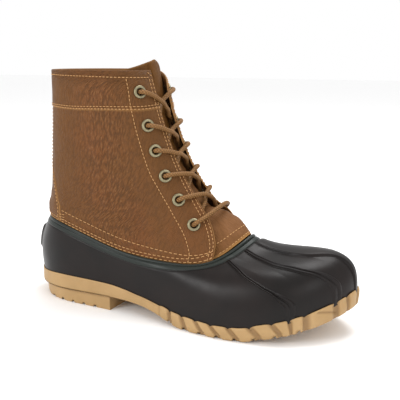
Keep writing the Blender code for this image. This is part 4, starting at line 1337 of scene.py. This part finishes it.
def make_lace(paint, line, way):
    """Round braided cord: strands wind both ways round it."""
    forward = unit(np.gradient(line, axis=0))
    side = unit(np.cross(forward[0], (0, 0, 1.0)))
    frames = []
    for direction in forward:
        side = unit(side - direction * (side @ direction))
        frames.append(side)
    across = np.array(frames)
    up = np.cross(forward, across)
    turn = np.arange(LACE_SIDES) * 2 * np.pi / LACE_SIDES
    wind = way[:, None] * 2 * np.pi / LACE_BRAID
    left = np.cos(LACE_STRANDS * (turn + wind))
    right = np.cos(LACE_STRANDS * (turn - wind))
    over = np.sin(LACE_STRANDS * turn) * np.sin(LACE_STRANDS * wind) > 0
    # 1 on a strand's top and 0 between strands: it bulges the cord, and the lace paint turns it into
    # painted highlight and shade
    crest = 0.5 + 0.5 * np.where(over, left, right)
    ends = np.minimum(way, way[-1] - way)
    radius = LACE / 2 * (0.90 + 0.10 * crest) * (0.4 + 0.6 * ease(ends, 0, 0.0015))[:, None]
    ring_points = np.cos(turn)[:, None] * across[:, None] + np.sin(turn)[:, None] * up[:, None]
    parts = Parts()
    parts.grid(line[:, None] + ring_points * radius[..., None], closed=True, crest=crest)
    nodes = [f"lace_cross_{k}" for k in range(1, 6)] + ["lace_bar"]
    parts.piece("lace_cord", paint, nodes)


# Eyelets

def make_eyelets(paint):
    """Rolled brass rings, one for each eyelet of the solids."""
    hole = EYELET_HOLE / 2
    outer = EYELET_OUTER / 2
    barrel = EYELET_BARREL / 2
    crown = (outer + hole) / 2
    half = (outer - hole) / 2
    turn = np.linspace(np.pi, -0.35, 15)
    flange = [(crown + half * np.cos(a), EYELET_PROUD * np.sin(a)) for a in turn]
    back = -LEATHER - 0.0009
    inside = [(hole, -0.0006), (hole, back), (hole + 0.0004, back - 0.0005)]
    clinch = [(barrel + 0.0006, back - 0.0003), (barrel + 0.0008, back + 0.0006)]
    profile = np.array([(outer - 0.0006, -0.0004)] + flange[::-1] + inside + clinch)
    angle = np.arange(40) * 2 * np.pi / 40
    ring_points = np.stack((profile[:, :1] * np.cos(angle), profile[:, :1] * np.sin(angle),
                            np.repeat(profile[:, 1:], len(angle), axis=1)), axis=-1)
    for side, number, height, away in eyelet_places():
        station = front_station(side, away)
        centre = leather_face(station, height, -0.0001)[0]
        out = Vector(upper_normal(station, np.array([height]))[0])
        spin = np.array(out.to_track_quat("Z", "Y").to_matrix())
        parts = Parts()
        parts.grid(ring_points @ spin.T + centre, closed=True, flip=True)
        spot = f"{'lateral' if side < 0 else 'medial'}_{number}"
        parts.piece("ring_" + spot, paint, ["eyelet_" + spot])


# Rubber shell

def shell_profile(sole_station, rim_station, share):
    """Point of the shell's outer face at a share of the way from the sole (0) to the rim (1)."""
    column = {key: closed_curve(both_sides(values)[:, None], sole_station)
              for key, values in SHELL_PROFILE.items()}
    foot_plan = sole_plan(sole_station, LIP_WIDTH + CLEAR)
    foot = np.column_stack((foot_plan, ledge(foot_plan[:, 0]) + CLEAR))
    rim = ring("rim", rim_station)
    out = foot - rim
    height = -out[:, 2:]
    out[:, 2] = 0
    rise = foot + unit(out) * column["bulge"] * BALL_WIDTH / 2
    rise[:, 2:] += column["rise"] * height
    reach = rim + out * column["reach"]
    reach[:, 2:] -= column["drop"] * height
    t = np.asarray(share)[..., None]
    return (1 - t) ** 3 * foot + 3 * (1 - t) ** 2 * t * rise + 3 * (1 - t) * t ** 2 * reach + t ** 3 * rim


def shell_columns():
    """Stations at the sole and at the rim for each column, closer together round the ribs."""
    ribs = list(zip(*(RIBS[key] for key in ("at_rim", "at_sole", "half_rim", "half_sole"))))
    knots = []
    for rim, sole, half_rim, half_sole in ribs[:0:-1]:
        for side in (-RIB_SPREAD, RIB_SPREAD):
            knots.append((TOE - rim + side * half_rim, TOE - sole + side * half_sole))
    half_rim, half_sole = ribs[0][2:]
    knots.append((TOE - MIDDLE_RIB_SPREAD * half_rim, TOE - MIDDLE_RIB_SPREAD * half_sole))
    knots.append((TOE, TOE))
    at_rim, at_sole = [], []
    start = (0.0, 0.0)
    for (rim, sole), count in zip(knots, SHELL_COLUMNS):
        share = np.arange(count) / count
        at_rim += list(start[0] + (rim - start[0]) * share)
        at_sole += list(start[1] + (sole - start[1]) * share)
        start = (rim, sole)
    at_rim = np.array(at_rim + [TOE])
    at_sole = np.array(at_sole + [TOE])
    mirror = slice(-2, 0, -1)
    return (np.concatenate((at_sole, STATIONS - at_sole[mirror])),
            np.concatenate((at_rim, STATIONS - at_rim[mirror])))


def bowed(at_rim, share):
    """Stations at the rim moved outwards where the ribs bow, at a share of the way up."""
    away = TOE - at_rim
    near = ease(abs(away), 0.0, RIBS["half_rim"][0]) * (1 - ease(abs(away), 1.6, 3.6))
    return at_rim - np.sign(away) * near * along(RIB_BOW, "out", share, by="share")


def rib_height(at_rim, share):
    """Height share of the ribs at each column, the middle one narrowing towards the toe."""
    away = abs(at_rim - TOE)
    total = np.zeros(np.broadcast(away, share).shape)
    for rim, half in zip(RIBS["at_rim"], RIBS["half_rim"]):
        if rim == 0:
            across = away / (half * (0.45 + 0.55 * ease(share, 0.22, 0.45)))
            total = np.maximum(total, 1 - ease(across, 0.86, 1.10))
        else:
            across = abs(away - rim) / half
            raised = 1 - ease(across, 0.75, 1.15)
            total = np.maximum(total, raised - 0.60 * bell(across, 0.24))
    return total


def patch_cover(back, share, patch):
    """1 on a part of the heel patch and 0 off it, with soft edges."""
    return (1 - ease(back, *patch["back"])) * ease(share, *patch["low"]) * (1 - ease(share, *patch["high"]))


def shell_face(at_sole, at_rim):
    """Rows of the shell's plain outer face from sole to rim, and each point's distance to the rim."""
    fine = np.linspace(0, 1, 81)
    dense = np.array([shell_profile(at_sole, at_rim, np.full(len(at_sole), s)) for s in fine])
    near, _ = distance_to(dense, ring("rim", np.linspace(0, STATIONS, 4000)))
    from_rim = np.maximum.accumulate(near[::-1] - near[-1:], axis=0)
    total = from_rim[-1]
    below = total - RIM_ROWS[-1]
    depths = [total - below * share for share in np.linspace(0, 1, 60)[:-1]]
    depths += [total * 0 + depth for depth in RIM_ROWS[::-1]]
    rim_knots = np.append(at_rim, STATIONS)
    sole_knots = np.append(at_sole, STATIONS)
    rows = []
    for depth in depths:
        share = 1 - np.array([np.interp(d, column, fine) for d, column in zip(depth, from_rim.T)])
        rim = bowed(at_rim, share)
        rows.append(shell_profile(np.interp(rim, rim_knots, sole_knots), rim, share))
    return np.array(rows), np.array(depths), total


def shell_relief(depth, share, at_sole, at_rim):
    """How far bead, band, ribs and heel patch stand out, and how deep the grooves beside them are."""
    half = BEAD_WIDTH / 2
    bead = np.sqrt(np.clip(1 - ((depth - half) / half) ** 2, 0, 1)) * BEAD_PROUD
    band = BAND_PROUD * ease(depth, BEAD_WIDTH, BEAD_WIDTH + BAND_SOFT)
    band *= 1 - ease(depth, BAND_WIDTH - BAND_SOFT, BAND_WIDTH)
    groove = -BEAD_GROOVE * bell(depth - BEAD_WIDTH, 0.00035)
    groove -= BAND_GROOVE * bell(depth - BAND_WIDTH - 0.0003, 0.0004)
    start = 0.35 * ease(depth, BAND_WIDTH - 0.0002, BAND_WIDTH + 0.0003)
    start += 0.65 * ease(depth, BAND_WIDTH, BAND_WIDTH + RIB_START)
    rib = rib_height(at_rim, share) * RIB_PROUD * start * (0.5 + 0.5 * ease(share, 0.02, 0.12))
    back = np.minimum(at_sole, STATIONS - at_sole)
    patch = PATCH_PROUD * patch_cover(back, share, PATCH)
    patch = patch - PATCH_SUNK * patch_cover(back, share, PATCH_FIELD)
    return bead + band + groove + rib + patch


def shell_inside(face, grid, normal, at_sole, at_rim):
    """Rows from the finished rim over the hidden flange and down the inner wall to the foot."""
    at_rim = bowed(at_rim, np.ones(len(at_rim)))
    inset = (2 - ease(abs(at_rim - TOE), 1.95, 2.35)) * (LEATHER + NEST)
    crown = height_share(FLANGE_HEIGHT)
    rows = [face[-1], grid[-1] - normal[-1] * RIM_TURN + np.array([0, 0, -RIM_TURN]),
            upper_at(at_rim, 0.0, inset), upper_at(at_rim, crown, inset),
            upper_at(at_rim, crown, inset + FLANGE)]
    under = len(grid) - 9
    rows.append(grid[under] - normal[under] * np.maximum(RUBBER, inset + FLANGE)[:, None])
    for k in (56, 45, 34, 23, 12, 4):
        rows.append(grid[k] - normal[k] * RUBBER)
    foot = sole_plan(at_sole, LIP_WIDTH + CLEAR + RUBBER)
    rows.append(np.column_stack((foot, ledge(foot[:, 0]) + CLEAR)))
    return np.array(rows)


def make_shell(paint):
    """Rubber bottom: bead, groove and band at the rim, ribs over the toe, patch at the heel."""
    at_sole, at_rim = shell_columns()
    grid, depth, total = shell_face(at_sole, at_rim)
    normal = grid_normals(grid)
    face = grid + normal * shell_relief(depth, 1 - depth / total, at_sole, at_rim)[..., None]
    parts = Parts()
    parts.grid(face, closed=True, rim=1 - ease(depth, BAND_WIDTH - 0.0004, BAND_WIDTH + 0.0004))
    parts.grid(shell_inside(face, grid, normal, at_sole, at_rim), closed=True)
    parts.piece("shell_rubber", paint, ["shell"])


# Outsole

def block_phase(way):
    """Place on the side blocks, whole numbers being the gaps, and how far they are at work."""
    phase = np.interp(way, BLOCK_GAPS, np.arange(len(BLOCK_GAPS)) - 1.0)
    return phase, ease(phase, -0.15, 0.35)


def tread_cut(points, tread):
    """Depth of the zigzag grooves at places of the underside."""
    fold = abs((points[..., 1] / TREAD_WAVE) % 2 - 1) - 0.5
    cut = np.zeros(points.shape[:-1])
    count = int(LENGTH / tread["pitch"])
    for k in range(-count, count):
        middle = tread["rest"] * LENGTH + (k + 0.5) * tread["pitch"]
        if tread["start"] * LENGTH < middle < tread["end"] * LENGTH:
            away = abs(points[..., 0] - middle - fold * TREAD_ZIGZAG)
            cut = np.maximum(cut, 1 - ease(away, TREAD_GROOVE / 2 - 0.0004, TREAD_GROOVE / 2 + 0.0003))
    return cut * TREAD_DEPTH


def edge_plan(way, shift, inset):
    """Outline of the sole, moved along by shift and inwards by inset. way 0 to 1 is the lateral side
    from heel to toe, and 1 to 2 is the medial side back to the heel."""
    share = np.where(way <= 1, way + shift, way - shift)
    station = np.where(share <= 1, stations_by_length(-1, np.minimum(share, 1)),
                       stations_by_length(1, np.clip(2 - share, 0, 1)))
    return sole_plan(station, inset)


def block_columns(way):
    """How far the side blocks work, and their cover, slant, relief, scallop and facet by column."""
    side_way = np.where(way <= 1, way, 2 - way)
    phase, working = block_phase(side_way)
    gap_away = abs(phase - np.round(phase))
    number = np.floor(phase)
    block = ease(gap_away, *BLOCK_SHOULDER)
    fade = ease(side_way, *SLANT_GROWS) * (1 - 0.9 * ease(side_way, *SLANT_FADES))
    slant = working * fade * BLOCK_SLANT / (0.25 * np.pi * LENGTH)
    relief = working * BLOCK_RELIEF * (1 - block) + (1 - working) * BLOCK_RELIEF * 0.35
    dome = np.sqrt(np.clip(1 - (1 - np.clip(gap_away / BLOCK_DOME, 0, 1)) ** 2, 0, 1))
    wobble = 0.15 * np.sin(number * 2.4) * working
    scallop = working * BLOCK_SCALLOP * (2 * dome - 1 + wobble)
    facet = working * BLOCK_FACET * np.sin(number * 1.7 + 0.6)
    return working, block, slant, relief, scallop, facet


def long_block_crease(way, depth):
    """Crease of the long block near the toe, at each column and a depth from top (0) to foot (1)."""
    phase, _ = block_phase(np.where(way <= 1, way, 2 - way))
    start, end = LONG_BLOCK_CREASE["phase"]
    long_block = (phase > start) & (phase < end)
    crease_at = np.interp(phase, LONG_BLOCK_CREASE["phase"], LONG_BLOCK_CREASE["depth"])
    return long_block * bell(depth - crease_at, LONG_BLOCK_CREASE["width"])


def outsole_wall():
    """Rows of the outsole's wall from its ledge to its underside, and the painted shade of its gaps and
    crease at each point.
    """
    half_way = np.linspace(0, 1, SOLE_COLUMNS)
    way = np.concatenate((half_way, 1 + half_way[1:-1]))
    working, block, slant, relief, scallop, facet = block_columns(way)
    # painted shade in the gaps between the side blocks
    gap_shade = working * (1 - block)
    rows, gap_shades = [], []

    def add_row(plan, height, gap):
        rows.append(np.column_stack((plan, height)))
        gap_shades.append(gap)

    for inset in (LEDGE_WIDTH, LIP_WIDTH + 0.0002):
        plan = edge_plan(way, 0, inset)
        add_row(plan, ledge(plan[:, 0]), 0 * way)
    plan = edge_plan(way, 0, LIP_WIDTH * 0.9)
    add_row(plan, sole_top(plan[:, 0]) + scallop - 0.0002, 0 * way)
    for angle in np.linspace(0.15, 1, 5) * np.pi / 2:
        depth = 0.08 * (1 - np.cos(angle))
        drop = LIP_WIDTH * 0.8 * (1 - np.cos(angle))
        inset = relief * 0.8 * np.sin(angle) + LIP_WIDTH * 0.85 * (1 - np.sin(angle))
        plan = edge_plan(way, slant * depth, inset)
        add_row(plan, sole_top(plan[:, 0]) + scallop - drop, gap_shade)
    for depth in np.linspace(0.14, 0.80, 12):
        swell = working * BLOCK_SWELL * np.sin(np.pi * depth) * block
        swell += facet * np.sin(2 * np.pi * depth) * block
        crease = long_block_crease(way, depth)
        plan = edge_plan(way, slant * depth, relief - swell + CREASE_RELIEF * crease)
        foot = sole_under(plan[:, 0]) + EDGE_ROUND
        top = sole_top(plan[:, 0]) + scallop * (1 - depth)
        # painted shade in the gaps and along the long block's crease
        add_row(plan, depth * foot + (1 - depth) * top, working * np.maximum(1 - block, 0.8 * crease))
    for angle in np.linspace(0, 1, 6) * np.pi / 2:
        inset = relief + EDGE_ROUND * (1 - np.cos(angle)) * 1.1
        plan = edge_plan(way, slant * (0.85 + 0.15 * np.sin(angle)), inset)
        add_row(plan, sole_under(plan[:, 0]) + EDGE_ROUND * (1 - np.sin(angle)), gap_shade)
    return np.array(rows), np.array(gap_shades)


def sheet_between(one, two, count):
    """Grid of count rows from one line straight to another, and which rows lie between them."""
    share = np.linspace(0, 1, count)[:, None, None]
    inner = np.minimum(share[..., 0], 1 - share[..., 0]) > 0
    return one * (1 - share) + two * share, inner


def add_sole_sheets(parts, wall):
    """Adds the underside with its tread, and the top inside the lip."""
    half = SOLE_COLUMNS - 1
    foot, top = wall[-1], wall[0]
    sheet, inner = sheet_between(foot[1:half], foot[:half:-1], 60)
    cut = tread_cut(sheet, FOREFOOT_TREAD)
    sheet[..., 2] = np.where(inner, sole_under(sheet[..., 0]) + cut, sheet[..., 2])
    # painted shade in the tread grooves and faintly over the whole underside
    parts.grid(sheet, gap=0.5 * cut / TREAD_DEPTH + 0.12)
    sheet, _ = sheet_between(top[1:half], top[:half:-1], 6)
    parts.grid(sheet, flip=True)


def add_heel_block(parts):
    """Adds the heel block: walls, round foot, the tread under it and its front."""
    breast = HEEL_BREAST * LENGTH
    lateral_way = np.linspace(share_at(-1, breast), 0, 180)[:-1]
    medial_way = np.linspace(0, share_at(1, breast), 180)
    stations = np.concatenate((stations_by_length(-1, lateral_way), stations_by_length(1, medial_way)))
    back = np.clip(1 - sole_plan(stations)[:, 0] / breast, 0, 1)
    rows = []
    for height, inset in HEEL_PROFILE:
        plan = sole_plan(stations, inset * (0.25 + 0.75 * back ** 1.5))
        corner = np.minimum(plan[:, 0], breast)
        rows.append(np.column_stack((corner, plan[:, 1], np.full(len(plan), HEEL_BLOCK * height))))
    wall = np.array(rows)
    cut = tread_cut(wall, HEEL_TREAD)
    wall[..., 2] = np.maximum(wall[..., 2], cut)
    low = wall[..., 2] < TREAD_DEPTH * 1.2
    # painted shade in the tread grooves and in a band along the top of the heel's wall
    parts.grid(wall, gap=0.55 * cut / TREAD_DEPTH * low + 0.5 * bell(wall[..., 2] - HEEL_BLOCK, 0.0012))
    foot = wall[0]
    count = len(foot) // 2
    sheet, inner = sheet_between(foot[:count][::-1], foot[-count:], 50)
    cut = tread_cut(sheet, HEEL_TREAD)
    sheet[..., 2] = np.where(inner, cut, sheet[..., 2])
    # painted shade in the tread grooves and faintly over the whole underside
    parts.grid(sheet, gap=0.5 * cut / TREAD_DEPTH + 0.12)
    front = [wall[:, 0] * (1 - share) + wall[:, -1] * share for share in np.linspace(0, 1, 40)]
    # painted shade over the heel's front face, which lies under the arch
    parts.grid(np.stack(front, axis=1), flip=True, gap=0.2)


def make_outsole(paint):
    """Gum sole: lip, rounded slanted blocks with scalloped tops, heel block and zigzag tread."""
    wall, gap = outsole_wall()
    cut = tread_cut(wall, FOREFOOT_TREAD)
    base = sole_under(wall[..., 0])
    low_rows = np.arange(len(wall))[:, None] > TOP_ROWS
    wall[..., 2] = np.where(low_rows, np.maximum(wall[..., 2], base + cut), wall[..., 2])
    low = wall[..., 2] < base + TREAD_DEPTH * 1.2
    parts = Parts()
    # painted shade in the wall's gaps and crease and in its tread grooves
    parts.grid(wall, closed=True, flip=True, gap=0.75 * gap + 0.5 * low * cut / TREAD_DEPTH)
    add_sole_sheets(parts, wall)
    add_heel_block(parts)
    parts.piece("outsole_gum", paint, ["outsole"])


# Scene

def write_sizes():
    sizes = {key: [list(low), list(high)]
             for key, (low, high) in (("solids", solid_bounds), ("finished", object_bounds()))}


def make_floor():
    """Plain pale floor and an even white world."""
    mesh = bpy.data.meshes.new("floor")
    corners = [(-FLOOR_REACH, -FLOOR_REACH, 0), (FLOOR_REACH, -FLOOR_REACH, 0),
               (FLOOR_REACH, FLOOR_REACH, 0), (-FLOOR_REACH, FLOOR_REACH, 0)]
    mesh.from_pydata(corners, [], [(0, 1, 2, 3)])
    floor = bpy.data.objects.new("floor", mesh)
    bpy.context.scene.collection.objects.link(floor)
    mesh.materials.append(Paint("floor_pale", (0.96, 0.96, 0.96), 0.9, Specular_IOR_Level=0.1).material)
    floor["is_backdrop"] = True
    world = bpy.data.worlds.new("studio")
    world.use_nodes = True
    world.node_tree.nodes["Background"].inputs["Color"].default_value = (1, 1, 1, 1)
    world.node_tree.nodes["Background"].inputs["Strength"].default_value = 1.0
    bpy.context.scene.world = world


def make_lights():
    """Soft round lights, all turned to the boot's middle."""
    for name, place, size, power in LIGHTS:
        light = bpy.data.lights.new(name, "AREA")
        light.shape = "DISK"
        light.size = size
        light.energy = power
        item = bpy.data.objects.new(name, light)
        item.location = place
        item.rotation_mode = "QUATERNION"
        item.rotation_quaternion = (Vector(LIGHTS_AIM) - Vector(place)).to_track_quat("-Z", "Y")
        bpy.context.scene.collection.objects.link(item)


def make_camera():
    """Camera at the photo's angle."""
    camera = bpy.data.cameras.new("camera")
    camera.lens = CAMERA_LENS
    camera.sensor_width = 36.0
    camera.shift_x = CAMERA_SHIFT
    camera.dof.use_dof = False
    item = bpy.data.objects.new("camera", camera)
    item.location = CAMERA_PLACE
    turn, tilt = np.radians(CAMERA_TURN), np.radians(CAMERA_TILT)
    look = Vector((-np.sin(turn) * np.cos(tilt), np.cos(turn) * np.cos(tilt), -np.sin(tilt)))
    item.rotation_mode = "QUATERNION"
    item.rotation_quaternion = look.to_track_quat("-Z", "Y")
    bpy.context.scene.collection.objects.link(item)
    bpy.context.scene.camera = item
    bpy.context.scene.view_settings.view_transform = "Standard"


def dress_insole():
    """Gives the solid insole its felt."""
    felt = cloth_paint("footbed_felt", (0.10, 0.070, 0.050), (0.06, 0.042, 0.030), 1400.0)
    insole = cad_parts["insole"]
    insole.data.materials.clear()
    insole.data.materials.append(felt)


def main():
    """Builds every piece round the frame."""
    cut_edge = (0.32, 0.16, 0.050)
    leather = leather_paint("leather_pebbled", (0.121, 0.0505, 0.0125), (0.152, 0.0520, 0.0135), cut_edge,
                            grain=1.0, lean=LEAN, gloss=0.18)
    smoother = leather_paint("leather_tongue", (0.105, 0.043, 0.0085), (0.185, 0.083, 0.033), cut_edge,
                             grain=0.40, lean=0.0, gloss=0.08)
    lining = cloth_paint("leather_flesh", (0.22, 0.115, 0.050), (0.15, 0.075, 0.032), 900.0)
    thread = thread_paint()

    seams = upper_seams()
    make_upper(leather, np.vstack([line[::2] for group in seams.values() for line, _ in group]))
    make_lining(lining)
    for name, group in seams.items():
        make_stitches(name, group, thread, RIM_PITCH if name == "rim" else STITCH_PITCH)
    line, way = smooth_line(lace_control(), LACE_STEP)
    make_tongue(smoother, line[::2])
    make_stitches("tongue", tongue_seams(), thread)
    make_lace(lace_paint(), line, way)
    make_eyelets(brass_paint())
    make_shell(rubber_paint())
    make_outsole(gum_paint())
    dress_insole()
    make_floor()
    make_lights()
    make_camera()
    # the solids' bounds were kept at the start, and these are the finished model's
    write_sizes()


main()
